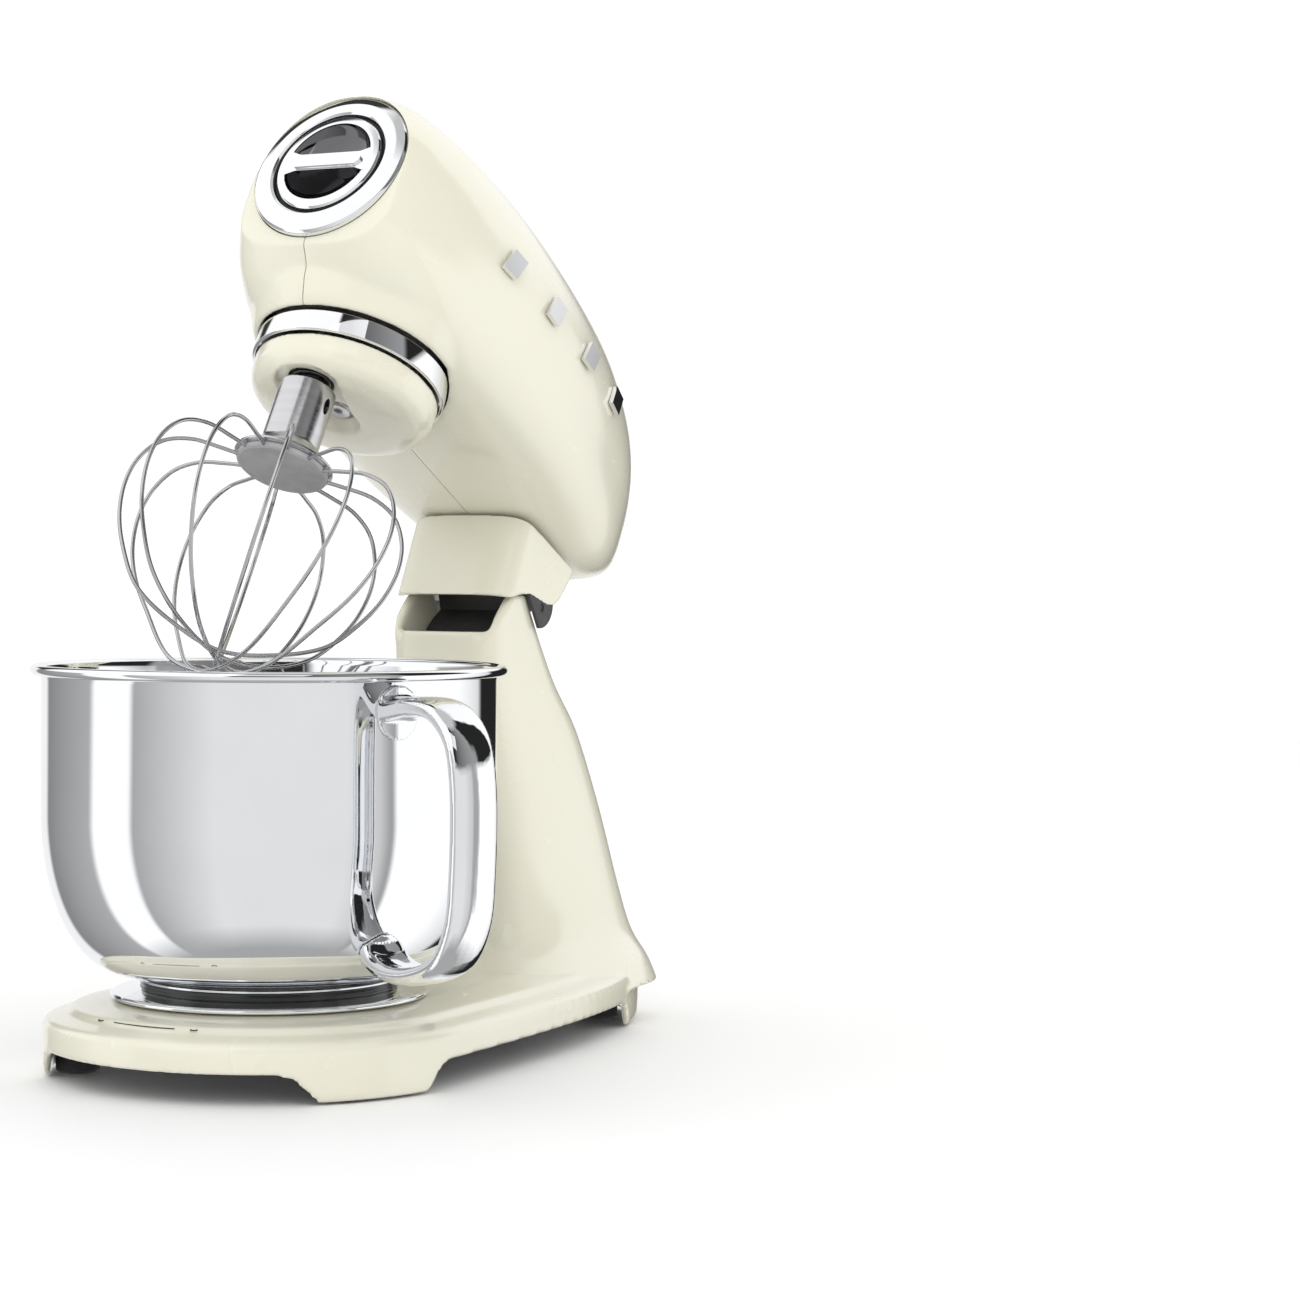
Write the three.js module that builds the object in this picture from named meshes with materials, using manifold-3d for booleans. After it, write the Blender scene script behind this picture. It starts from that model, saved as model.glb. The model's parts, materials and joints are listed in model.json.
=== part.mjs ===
// Tilt-head stand mixer with a twist-lock steel bowl and a wire whisk.
//
// Units are millimetres and +Z is up. The mixer faces -Y, and +X is its right-hand side.
// Everything is laid out around the bowl's axis (X = 0, Y = 0) with the feet at Z = 0. The head is
// laid out closed, level over the bowl, and its group is then tilted back about the hinge pin.
// The last lines move the origin to the centre of the whole object's box, on the table.

import * as THREE from 'three';
import { mergeVertices } from 'three/addons/utils/BufferGeometryUtils.js';
import Module from 'manifold-3d';

const wasm = await Module();
wasm.setup();

// ---------------------------------------------------------------- driving dimensions

const rad = Math.PI / 180;
const gap = 0.35; // between pieces that touch
const detail = 0.58; // scales the number of facets around every turned piece

const headTilt = 29.6; // degrees, head raised
const hinge = { y: 218, z: 157 };

// bowl
const rimHeight = 190;
const rimRadius = 110.5;
const bowlWallRadius = 105.4;
const bowlSteel = 1.6;
const footRingRadius = 74;
const footRingHeight = 36.2;
const handleBearing = 67; // degrees from the front towards the right

// base and column
const baseRadius = 103.5;
const baseEnd = 272;
const baseShoulder = 27;
const baseTop = 35.6;
const archHeight = 14;
const castingWall = 4;
const columnFront = 143;
const columnTop = 221.5;
const pocketLip = 203;
const cheekOuter = 32.4;
const cheekInner = 26.4;
const armReach = 64; // radius about the hinge that the arm's round front keeps to
const wellRadius = 62;
const footPlaces = [
  ['foot_front_left', -74, -49], ['foot_front_right', 74, -49],
  ['foot_rear_left', -46, 230], ['foot_rear_right', 46, 230],
];
const buttonHeight = 104;
const glandX = -34;
const glandHeight = 26;

// neck and head
const neckTop = 225.6;
const neckFront = 124.6;
const neckRake = 0.09; // how far the neck's front steps back for each millimetre down
const neckHalfWidth = 35.2;
const neckWall = 2.2;
const shellWall = 3;
const capCentre = { y: -65.2, z: 307.3 };
const capRadius = 41.2;
const capPitch = 4; // degrees, the cap looks slightly up
const badgeLevel = 300;

// planetary drive
const driveRingRadius = 47.8;
const driveRingBottom = 225.1;
const driveRingTop = 236.3;
const ringTeeth = 36;
const pinionTeeth = 12;
const gearModule = 13 / 6;
const beaterOffset = gearModule * (ringTeeth - pinionTeeth) / 2;

// worm drive
const wheelTeeth = 20;
const wormModule = 2;
const wormRadius = 7;
const wheelRadius = wormModule * wheelTeeth / 2;
const motorX = -(wheelRadius + wormRadius + 0.5);
const motorZ = 288;

// whisk, hanging from the beater shaft in front of the head's own axis
const whiskHubRadius = 13.8;
const whiskHubTop = 205;
const whiskHubBottom = 160;
const whiskRadius = 66;
const whiskLoops = 6;
const wireRadius = 1;
const wireStagger = 2.4;

// ---------------------------------------------------------------- materials

const finish = (color, roughness, metalness) => new THREE.MeshStandardMaterial({ color, roughness, metalness });
const cream = finish(0xf0ecd8, 0.25, 0);
const chrome = finish(0xe6e8ea, 0.06, 1);
const steel = finish(0xc4c6c8, 0.28, 1);
const rubber = finish(0x1c1c1c, 0.8, 0);
const darkPlastic = finish(0x3a3a3c, 0.55, 0);
const casting = finish(0x9a9c9e, 0.5, 1);
const gearSteel = finish(0x8c8e92, 0.35, 1);
const copper = finish(0xb5703a, 0.4, 1);
const board = finish(0x2f6b3a, 0.6, 0);

// ---------------------------------------------------------------- geometry helpers

function signedVolume(geometry) {
  const p = geometry.attributes.position;
  const index = geometry.index;
  const corner = [0, 1, 2].map(() => new THREE.Vector3());
  let volume = 0;
  for (let i = 0; i < index.count; i += 3) {
    corner.forEach((c, k) => c.fromBufferAttribute(p, index.getX(i + k)));
    volume += corner[0].dot(corner[1].clone().cross(corner[2]));
  }
  return volume / 6;
}

// One closed surface with shared vertices and its faces pointing out.
function closed(geometry) {
  geometry.deleteAttribute('normal');
  geometry.deleteAttribute('uv');
  const merged = mergeVertices(geometry, 1e-4);
  const kept = [];
  const p = merged.attributes.position;
  const a = new THREE.Vector3();
  const b = new THREE.Vector3();
  const c = new THREE.Vector3();
  for (let i = 0; i < merged.index.count; i += 3) {
    const [i0, i1, i2] = [0, 1, 2].map((k) => merged.index.getX(i + k));
    a.fromBufferAttribute(p, i0);
    b.fromBufferAttribute(p, i1);
    c.fromBufferAttribute(p, i2);
    if (i0 !== i1 && i1 !== i2 && i0 !== i2 && b.sub(a).cross(c.sub(a)).length() > 1e-9) kept.push(i0, i1, i2);
  }
  merged.setIndex(kept);
  if (signedVolume(merged) < 0) {
    for (let i = 0; i < kept.length; i += 3) [kept[i], kept[i + 1]] = [kept[i + 1], kept[i]];
    merged.setIndex(kept);
  }
  return merged;
}

function solid(geometry) {
  const g = closed(geometry);
  const vertProperties = new Float32Array(g.attributes.position.array);
  const triVerts = new Uint32Array(g.index.array);
  return new wasm.Manifold(new wasm.Mesh({ numProp: 3, vertProperties, triVerts }));
}

function fromSolid(manifold) {
  const mesh = manifold.getMesh();
  const g = new THREE.BufferGeometry();
  g.setAttribute('position', new THREE.BufferAttribute(new Float32Array(mesh.vertProperties), 3));
  g.setIndex(Array.from(mesh.triVerts));
  return g;
}

const join = (...parts) => parts.reduce((whole, part) => whole.add(part));
const cut = (body, ...tools) => tools.reduce((rest, tool) => rest.subtract(tool), body);

// A box between two corners.
function box(x0, x1, y0, y1, z0, z1) {
  const g = new THREE.BoxGeometry(x1 - x0, y1 - y0, z1 - z0);
  return g.translate((x0 + x1) / 2, (y0 + y1) / 2, (z0 + z1) / 2);
}

// A profile of [radius, height] points turned about +Z.
function turned(profile, segments = 40) {
  const facets = Math.max(10, Math.round(segments * detail));
  const g = new THREE.LatheGeometry(profile.map(([r, z]) => new THREE.Vector2(r, z)), facets);
  return g.rotateX(Math.PI / 2);
}

const disc = (radius, z0, z1, segments = 32) => turned([[0, z0], [radius, z0], [radius, z1], [0, z1]], segments);

function washer(inner, outer, z0, z1, segments = 32) {
  return turned([[inner, z0], [outer, z0], [outer, z1], [inner, z1], [inner, z0]], segments);
}

// A flat outline in X and Y, raised from z0 to z1.
function raised(shape, z0, z1, curveSegments = 12) {
  const g = new THREE.ExtrudeGeometry(shape, { depth: z1 - z0, bevelEnabled: false, curveSegments });
  return g.translate(0, 0, z0);
}

// A flat outline in Y and Z, from x0 to x1.
function sideways(shape, x0, x1, curveSegments = 12) {
  const g = new THREE.ExtrudeGeometry(shape, { depth: x1 - x0, bevelEnabled: false, curveSegments });
  const yzToWorld = new THREE.Matrix4().makeBasis(
    new THREE.Vector3(0, 1, 0), new THREE.Vector3(0, 0, 1), new THREE.Vector3(1, 0, 0));
  return g.applyMatrix4(yzToWorld).translate(x0, 0, 0);
}

const outline = (points) => new THREE.Shape(points.map(([x, y]) => new THREE.Vector2(x, y)));

// Rings of equal length joined into a skin, with both ends closed.
function lofted(rings) {
  const count = rings[0].length;
  const positions = rings.flat().flatMap((v) => [v.x, v.y, v.z]);
  const index = [];
  for (let r = 0; r + 1 < rings.length; r += 1) {
    for (let i = 0; i < count; i += 1) {
      const a = r * count + i;
      const b = r * count + (i + 1) % count;
      index.push(a, b, b + count, a, b + count, a + count);
    }
  }
  for (const [start, flip] of [[0, true], [(rings.length - 1) * count, false]]) {
    for (let i = 1; i + 1 < count; i += 1) {
      if (flip) index.push(start, start + i + 1, start + i);
      else index.push(start, start + i, start + i + 1);
    }
  }
  const g = new THREE.BufferGeometry();
  g.setAttribute('position', new THREE.BufferAttribute(new Float32Array(positions), 3));
  g.setIndex(index);
  return g;
}

// A round bar along a curve.
function bar(curve, radius, steps, sides = 8) {
  const ring = new THREE.Shape();
  for (let i = 0; i < sides; i += 1) {
    const a = i / sides * 2 * Math.PI;
    if (i === 0) ring.moveTo(radius * Math.cos(a), radius * Math.sin(a));
    else ring.lineTo(radius * Math.cos(a), radius * Math.sin(a));
  }
  return new THREE.ExtrudeGeometry(ring, { steps, extrudePath: curve, bevelEnabled: false });
}

// A point on a superellipse: exponent 2 is an ellipse, more is squarer.
function superellipse(angle, halfWidth, halfHeight, exponent) {
  const bend = (value) => Math.sign(value) * Math.abs(value) ** (2 / exponent);
  return [halfWidth * bend(Math.cos(angle)), halfHeight * bend(Math.sin(angle))];
}

const turns = (count) => Array.from({ length: count }, (_, i) => i / count * 2 * Math.PI);

// Rows of stations blended smoothly; each station is a list of values.
function blended(stations, between) {
  const rows = [];
  const last = stations.length - 1;
  for (let i = 0; i < last; i += 1) {
    const before = stations[Math.max(i - 1, 0)];
    const after = stations[Math.min(i + 2, last)];
    for (let step = 0; step < between; step += 1) {
      const t = step / between;
      rows.push(stations[i].map((p1, k) => {
        const p2 = stations[i + 1][k];
        const m1 = (p2 - before[k]) / 2;
        const m2 = (after[k] - p1) / 2;
        return (2 * t ** 3 - 3 * t ** 2 + 1) * p1 + (t ** 3 - 2 * t ** 2 + t) * m1
          + (3 * t ** 2 - 2 * t ** 3) * p2 + (t ** 3 - t ** 2) * m2;
      }));
    }
  }
  rows.push(stations[last]);
  return rows;
}

// Straight-flanked gear teeth around a centre; tooth 0 points along `phase`.
function toothed(teeth, root, tip, phase, width = 0.36) {
  const pitch = 2 * Math.PI / teeth;
  const points = [];
  for (let i = 0; i < teeth; i += 1) {
    const mid = phase + i * pitch;
    for (const [offset, radius] of [[-0.3, root], [-width / 2 + 0.06, tip], [width / 2 - 0.06, tip], [0.3, root]]) {
      points.push([radius * Math.cos(mid + offset * pitch), radius * Math.sin(mid + offset * pitch)]);
    }
  }
  return points;
}

const mixer = new THREE.Group();
const stand = new THREE.Group();
const head = new THREE.Group();
mixer.add(stand, head);

function piece(name, geometry, material, parent) {
  const mesh = new THREE.Mesh(closed(geometry), material);
  mesh.name = name;
  parent.add(mesh);
  return mesh;
}

// ---------------------------------------------------------------- stand: base and column

// Plan outline of the base, a distance inside its edge: round under the bowl, squarer behind.
function basePlan(inset, z, count = 36) {
  const frontReach = baseRadius - inset;
  const rearReach = baseEnd - inset;
  return turns(count).map((angle) => {
    const [x, y] = superellipse(angle, 1, 1, Math.sin(angle) < 0 ? 2.08 : 3.2);
    const halfWidth = frontReach - (y > 0 ? 14 * y : 0);
    return new THREE.Vector3(x * halfWidth, y * (y < 0 ? frontReach : rearReach), z);
  });
}

function baseBody() {
  const edge = [
    // inset, height
    [1, 2.5], [0, 5], [0, baseShoulder - 4], [1.5, baseShoulder - 1],
    [4, baseShoulder], [33, baseTop],
  ];
  return solid(lofted(edge.map(([inset, z]) => basePlan(inset, z))));
}

// The column's plan section: flat sides, a soft front and a soft back.
function columnPlan(halfWidth, front, rear, z, count) {
  const middle = front + (rear - front) * 0.45;
  return turns(count).map((angle) => {
    const [x, y] = superellipse(angle, halfWidth, 1, 4);
    return new THREE.Vector3(x, middle + y * (y < 0 ? middle - front : rear - middle), z);
  });
}

const columnStations = [
  // half width, front, rear, height
  [82, 96, 266, 20],
  [74, 112, 266, 32],
  [62, 128, 265, 46],
  [53, 136, 263, 70],
  [44, 141, 255, 110],
  [36, columnFront, 241, 150],
  [cheekOuter, columnFront, 219, 178],
  [cheekOuter, columnFront, 187, columnTop],
];

function columnBody(inset, count = 24) {
  const rows = columnStations.map(([w, front, rear, z]) => [w - inset, front + inset, rear - inset, z]);
  return solid(lofted(rows.map((row) => columnPlan(...row, count))));
}

const alongX = (geometry, y, z) => geometry.rotateY(Math.PI / 2).translate(0, y, z);
const alongY = (geometry, x, z) => geometry.rotateX(-Math.PI / 2).translate(x, 0, z);

// The slot that the hinge arm swings in. Its front is open above the lip, and its back above the pin.
function armSlot() {
  const frontWall = columnFront + 9.5;
  const slot = outline([
    [frontWall, 134], [hinge.y + 20, 134], [hinge.y + 60, 150], [hinge.y + 60, 260],
    [columnFront - 20, 260], [columnFront - 20, pocketLip], [frontWall, pocketLip],
  ]);
  return solid(sideways(slot, -cheekInner, cheekInner));
}

// Everything of the column that the neck's front wall would meet as the head swings: its rounded
// corners come closer to the pin than its middle does.
function neckSweep() {
  const region = solid(box(-60, 60, 90, hinge.y, pocketLip - 14, 260));
  const corners = solid(alongX(disc(83.2, -70, 70, 72), hinge.y, hinge.z));
  const middle = solid(alongX(disc(88.4, -22, 22, 72), hinge.y, hinge.z));
  return cut(region, corners, middle);
}

// Openings between the feet: an arch across the front, one along each side and one behind.
function footArches() {
  const arch = (from, to) => outline([
    [from, -5], [to, -5], [to - 3, 4], [to - 8, archHeight - 3], [to - 15, archHeight],
    [from + 15, archHeight], [from + 8, archHeight - 3], [from + 3, 4],
  ]);
  const lengthwise = (halfWidth, yFrom, yTo) => {
    const g = new THREE.ExtrudeGeometry(arch(-halfWidth, halfWidth), { depth: yTo - yFrom, bevelEnabled: false });
    return solid(g.rotateX(Math.PI / 2).translate(0, yTo, 0));
  };
  return join(lengthwise(77, -150, 60), lengthwise(33, 59, 300), solid(sideways(arch(-20, 206), -200, 200)));
}

function standCasting() {
  const inside = [[4, 1], [4, baseShoulder - 6], [24, baseTop - castingWall - 7]];
  const hollowBase = solid(lofted(inside.map(([inset, z]) => basePlan(inset, z))));
  const hollowColumn = columnBody(castingWall, 16).intersect(solid(box(-90, 90, 90, 300, 18, 128)));
  const wellFloor = solid(disc(wellRadius + 3, baseTop - 10, baseTop - 5, 48));
  const well = solid(disc(wellRadius, baseTop - 6, baseTop + 20, 48));
  const pinHole = solid(alongX(disc(5.3, -60, 60, 24), hinge.y, hinge.z));
  const buttonHole = solid(alongY(disc(9.4, 240, 300, 24), 0, buttonHeight));
  const glandHole = solid(alongY(disc(5.6, 240, 300, 20), glandX, glandHeight));
  const shell = cut(join(baseBody(), columnBody(0)), hollowBase, hollowColumn, footArches());
  return fromSolid(cut(join(shell, wellFloor), well, armSlot(), neckSweep(), pinHole, buttonHole, glandHole));
}

function basePlate() {
  const plate = solid(lofted([basePlan(5, archHeight + 1.2), basePlan(5, archHeight + 3.2)]));
  const vents = turns(6).map((a) => solid(disc(4, 0, 30, 12).translate(34 * Math.cos(a), 150 + 34 * Math.sin(a), 0)));
  return fromSolid(cut(plate, ...vents));
}

const foot = () => turned([[0, 0], [9, 0], [10.4, 1.4], [10.4, archHeight - 1], [9.4, archHeight + 0.85], [0, archHeight + 0.85]], 24);

// The bayonet plate in the well: three notches let the bowl's lugs drop in and turn under its lip.
function lockPlate() {
  const top = baseTop - 0.6;
  const floor = baseTop - 5.7;
  const ring = solid(turned([
    [49.9, top], [wellRadius - 0.4, top], [wellRadius - 0.4, floor], [54.6, floor], [54.6, top - 2.2], [49.9, top - 2.2],
    [49.9, top],
  ], 48));
  const notches = [0, 1, 2].map((i) => {
    const notch = box(-8, 8, 40, 55, floor - 1, top + 1);
    return solid(notch.rotateZ((i * 120 + 40) * rad));
  });
  return fromSolid(cut(ring, ...notches));
}

// A coil spring standing on +Z, its radius easing from one end to the other.
function coil(radius0, radius1, z0, z1, rounds, wire) {
  const perRound = 8;
  const points = [];
  for (let i = 0; i <= rounds * perRound; i += 1) {
    const t = i / (rounds * perRound);
    const a = i / perRound * 2 * Math.PI;
    const r = radius0 + (radius1 - radius0) * t;
    points.push(new THREE.Vector3(r * Math.cos(a), r * Math.sin(a), z0 + wire + (z1 - z0 - 2 * wire) * t));
  }
  return bar(new THREE.CatmullRomCurve3(points), wire, rounds * perRound, 4);
}

function buildStand() {
  piece('stand_casting', standCasting(), cream, stand);
  piece('base_plate', basePlate(), darkPlastic, stand);
  for (const [name, x, y] of footPlaces) piece(name, foot(), rubber, stand).position.set(x, y, 0);
  piece('bowl_lock_plate', lockPlate(), steel, stand);
  piece('hinge_pin', alongX(disc(5, -cheekOuter - 1.5, cheekOuter + 1.5, 24), hinge.y, hinge.z), gearSteel, stand);
  piece('cord_gland', glandBushing(), darkPlastic, stand);
}

// The inlet for the power cord: a flanged sleeve with a through hole.
function glandBushing() {
  const sleeve = turned([
    [3.6, 246], [5.2, 246], [5.2, baseEnd + gap], [8.5, baseEnd + gap], [8.5, baseEnd + 3], [5.5, baseEnd + 7],
    [3.6, baseEnd + 7], [3.6, 246],
  ], 20);
  return alongY(sleeve, glandX, glandHeight);
}

// ---------------------------------------------------------------- head release

function buttonGuide() {
  const sleeve = turned([
    [2.6, 219], [12, 219], [12, 247], [9.4, 247], [9.4, 222], [2.6, 222], [2.6, 219],
  ], 24);
  return alongY(sleeve, 0, buttonHeight);
}

function releaseButton() {
  const cap = turned([
    [0, 212], [2.2, 212], [2.2, 245.4], [4.6, 245.4], [4.6, 234], [9, 234], [9, 258], [8, 260.4], [5, 261.2], [0, 261.4],
  ], 24);
  return alongY(cap, 0, buttonHeight);
}

function buildRelease() {
  piece('button_guide', buttonGuide(), darkPlastic, stand);
  piece('release_button', releaseButton(), chrome, stand);
  const spring = alongY(coil(3.5, 3.5, 222.4, 240.6, 4, 0.5), 0, buttonHeight);
  piece('button_spring', spring, gearSteel, stand);
}

// ---------------------------------------------------------------- bowl

const bowlFloor = footRingHeight + 9;

// The bowl's wall: a quarter of an ellipse from the floor's edge up to the straight side.
function bowlCurve(step, steps) {
  const edge = 65.4;
  const a = step / steps * Math.PI / 2;
  return [edge + (bowlWallRadius - edge) * Math.sin(a) ** 0.92, bowlFloor + 2.4 + 74 * (1 - Math.cos(a))];
}

// The bowl's outside as a filled profile, grown by a clearance.
function bowlOutside(clearance) {
  const steps = 7;
  const wall = Array.from({ length: steps + 1 }, (_, i) => bowlCurve(i, steps));
  const grown = wall.map(([r, z]) => [r + clearance, z - clearance]);
  return [[0, bowlFloor - clearance], ...grown, [bowlWallRadius + clearance, rimHeight], [0, rimHeight]];
}

function bowlProfile() {
  const steps = 7;
  const outer = [[0, bowlFloor], [57, bowlFloor]];
  const inner = [];
  for (let i = 0; i <= steps; i += 1) {
    const [r, z] = bowlCurve(i, steps);
    outer.push([r, z]);
    inner.unshift([r - bowlSteel, z + bowlSteel * (1 - i / steps)]);
  }
  const lip = [
    [bowlWallRadius, rimHeight - 5], [rimRadius - 0.7, rimHeight - 3.4], [rimRadius, rimHeight - 1.7],
    [rimRadius - 0.7, rimHeight], [rimRadius - 3, rimHeight], [bowlWallRadius - bowlSteel, rimHeight - 2.6],
  ];
  return [...outer, ...lip, ...inner, [57, bowlFloor + bowlSteel], [0, bowlFloor + bowlSteel]];
}

// Polished foot: a collar under the bowl that flares to the ring, with three bayonet lugs inside.
function bowlFoot() {
  const top = bowlFloor - gap;
  const collar = solid(turned([
    [46, top], [59, top], [58.6, 41.5], [61, 39.6], [66, 38.7], [footRingRadius - 1, 38.4], [footRingRadius, 37.4],
    [footRingRadius - 0.6, footRingHeight], [49.4, footRingHeight], [49.4, baseTop - 5.2], [46, baseTop - 5.2], [46, top],
  ], 48));
  const lugs = [0, 1, 2].map((i) => solid(box(-6, 6, 48, 53.8, baseTop - 5.2, baseTop - 3.4).rotateZ(i * 120 * rad)));
  return fromSolid(join(collar, ...lugs));
}

// The strap handle, bent in one upright plane that passes through the bowl's axis.
function bowlHandle() {
  const path = new THREE.CatmullRomCurve3([
    [105, 174], [112, 174.4], [126, 175.6], [146, 173], [160.5, 160], [164, 140], [164, 104], [160.5, 80], [148, 64.5],
    [126, 57.5], [108, 57.4], [98.4, 60.4], [90.4, 66.6],
  ].map(([r, z]) => new THREE.Vector3(r, 0, z)));
  const steps = 22;
  const rings = [];
  for (let i = 0; i <= steps; i += 1) {
    const t = i / steps;
    const centre = path.getPoint(t);
    const along = path.getTangent(t);
    const across = new THREE.Vector3(-along.z, 0, along.x);
    const flare = Math.max(0, 1 - 14 * Math.min(t, 1 - t)) ** 1.5;
    rings.push(turns(10).map((angle) => {
      const [side, out] = superellipse(angle, 11.5 + 3 * flare, 3.6 + 7.5 * flare, 3);
      return centre.clone().addScaledVector(across, out).add(new THREE.Vector3(0, side, 0));
    }));
  }
  const strap = lofted(rings).rotateZ((handleBearing - 90) * rad);
  const bowlEnvelope = solid(turned(bowlOutside(gap), 48));
  return fromSolid(cut(solid(strap), bowlEnvelope));
}

function buildBowl() {
  piece('bowl_shell', turned(bowlProfile(), 48), steel, stand);
  piece('bowl_foot_ring', bowlFoot(), chrome, stand);
  piece('bowl_handle', bowlHandle(), chrome, stand);
}

// ---------------------------------------------------------------- head shells

const headStations = [
  // y, top, bottom, half width
  [-64, 348, 262, 43],
  [-45, 357, 246, 51.5],
  [-10, 361.5, 234, 60.5],
  [40, 361.5, 228, 66.5],
  [100, 356, 226.8, 66.5],
  [150, 349, 226.8, 59.5],
  [195, 332, 229, 47],
  [232, 295, 248, 25],
  [248, 274, 262, 6],
];
const beltLevel = 0.4; // the widest level of a section, from its bottom to its top

function headSection(top, bottom, halfWidth, angle) {
  const belt = bottom + (top - bottom) * beltLevel;
  const upper = Math.sin(angle) > 0;
  const [x, z] = superellipse(angle, halfWidth, upper ? top - belt : belt - bottom, upper ? 2.2 : 3.5);
  return [x, belt + z];
}

function headBody(inset, between = 2, around = 32) {
  const rows = headStations.map(([y, top, bottom, w], i) => {
    const end = i === 0 ? inset : -inset * (i / (headStations.length - 1)) ** 4;
    return [y + end, top - inset, bottom + inset, Math.max(w - inset, 2)];
  });
  return solid(lofted(blended(rows, between).map(([y, top, bottom, w]) => turns(around).map((angle) => {
    const [x, z] = headSection(top, bottom, w, angle);
    return new THREE.Vector3(x, y, z);
  }))));
}

const capFrame = new THREE.Matrix4().makeTranslation(0, capCentre.y, capCentre.z)
  .multiply(new THREE.Matrix4().makeRotationX((90 - capPitch) * rad));

// Slots in the back of the head that let the motor's cooling air out.
function rearVents() {
  return [0, 1, 2].map((i) => solid(box(-60, 60, 218 + 7 * i, 220.5 + 7 * i, 262, 285)));
}

function headShells() {
  const boss = solid(turned([[0, driveRingTop + gap], [50.5, driveRingTop + gap], [52, 242], [57, 250], [57, 262], [0, 262]], 48));
  const inside = join(headBody(shellWall, 1, 20), solid(disc(47.6, driveRingTop - 1, 262, 48)));
  const openings = [
    solid(disc(48.4, 200, driveRingTop + 0.3, 48)),
    solid(box(-26.6, 26.6, 149, 188, 200, 240)),
    solid(disc(capRadius + 0.4, -8.6, 30, 48).applyMatrix4(capFrame)),
    solid(box(-3, 3, 52, 112, 330, 380)),
    ...rearVents(),
  ];
  const shell = cut(join(headBody(0), boss), inside, ...openings);
  const half = (from, to) => shell.intersect(solid(box(from, to, -100, 300, 150, 400)));
  return { right: fromSolid(half(gap / 2, 100)), left: fromSolid(half(-100, -gap / 2)) };
}

// ---------------------------------------------------------------- neck and hinge arm

// The cream collar between head and column: a deep U seen from above, open behind.
function neckCollar() {
  const plan = (grow) => {
    const front = neckFront - grow;
    const side = neckHalfWidth + grow;
    const shape = new THREE.Shape();
    shape.moveTo(side, 182);
    shape.lineTo(-side, 182);
    for (let i = 0; i <= 12; i += 1) {
      const [x, y] = superellipse(Math.PI + i / 12 * Math.PI, side, 20, 4);
      shape.lineTo(x, front + 20 + y);
    }
    return shape;
  };
  const raked = (geometry) => {
    const p = geometry.attributes.position;
    for (let i = 0; i < p.count; i += 1) {
      const forward = Math.max(0, (182 - p.getY(i)) / (182 - neckFront));
      p.setY(i, p.getY(i) + (neckTop - p.getZ(i)) * neckRake * forward);
    }
    return solid(geometry);
  };
  const wall = cut(
    raked(raised(plan(0), 170, neckTop - gap)),
    raked(raised(plan(-neckWall), 160, neckTop + 10).translate(0, neckWall / 2, 0)),
    solid(box(-neckHalfWidth + neckWall, neckHalfWidth - neckWall, 165, 200, 160, 240)),
  );
  const sideView = outline([
    [110, 181], [128, 180.5], [136, 183], [143, 188.5], [150, 193], [158, 194.5], [166, 193], [173, 187], [178, 184],
    [181, 188], [182.5, 200], [182.5, 240], [110, 240],
  ]);
  return fromSolid(wall.intersect(solid(sideways(sideView, -60, 60))));
}

// The dark arm that carries the head: a round-fronted sector on the pin, with a block up into the head.
function hingeArm() {
  const half = cheekInner - 0.8;
  const sector = [[hinge.y, hinge.z]];
  const [from, to, steps] = [120, 170, 14];
  for (let i = 0; i <= steps; i += 1) {
    const a = (from + (to - from) * i / steps) * rad;
    sector.push([hinge.y + armReach * Math.cos(a), hinge.z + armReach * Math.sin(a)]);
  }
  const eye = solid(alongX(disc(14, -half, half, 28), hinge.y, hinge.z));
  const web = solid(sideways(outline([[hinge.y + 12, hinge.z + 6], [192, 212], [183, 240], [150, 240], [150, 207], [158, 196]]),
    -half, half));
  const bore = solid(alongX(disc(8.2, -60, 60, 24), hinge.y, hinge.z));
  const eyeRecess = solid(alongX(disc(2.6, half - 6, half + 1, 12), 170, 196));
  return fromSolid(cut(join(solid(sideways(outline(sector), -half, half)), eye, web), bore, eyeRecess));
}

// ---------------------------------------------------------------- front cap

function capBezel() {
  return turned([
    [30, -8], [capRadius - 0.6, -8], [capRadius, -6], [capRadius, -1.6], [capRadius - 1.2, -0.2],
    [35, 1.3], [31, 1], [30, 0], [30, -8],
  ], 48).applyMatrix4(capFrame);
}

// The pull-off cover: a groove, a polished ring and a bar to grip across two half-moon recesses.
function hubCover() {
  const body = solid(turned([
    [0, -7], [27, -7], [27, -4], [29.6, -4], [29.6, 0], [28, 0.8], [27.2, -1.6], [25.4, -1.6], [24.6, 1.4], [21, 2], [0, 2],
  ], 48));
  const recess = cut(solid(disc(18.5, -4, 10, 36)), solid(box(-20, 20, -4.4, 4.4, -5, 12)));
  const grip = solid(box(-17.6, 17.6, -3.6, 3.6, 1, 3.4));
  return fromSolid(join(cut(body, recess), grip)).applyMatrix4(capFrame);
}

const attachmentHub = () => turned([[12, -18], [28, -18], [28, -8.4], [12, -8.4], [12, -18]], 32).applyMatrix4(capFrame);

// ---------------------------------------------------------------- badges on the sides of the head

function headRowAt(y) {
  const i = headStations.findIndex((row) => row[0] > y);
  const [a, b] = [headStations[i - 1], headStations[i]];
  const t = (y - a[0]) / (b[0] - a[0]);
  return a.map((value, k) => value + (b[k] - value) * t);
}

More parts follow.
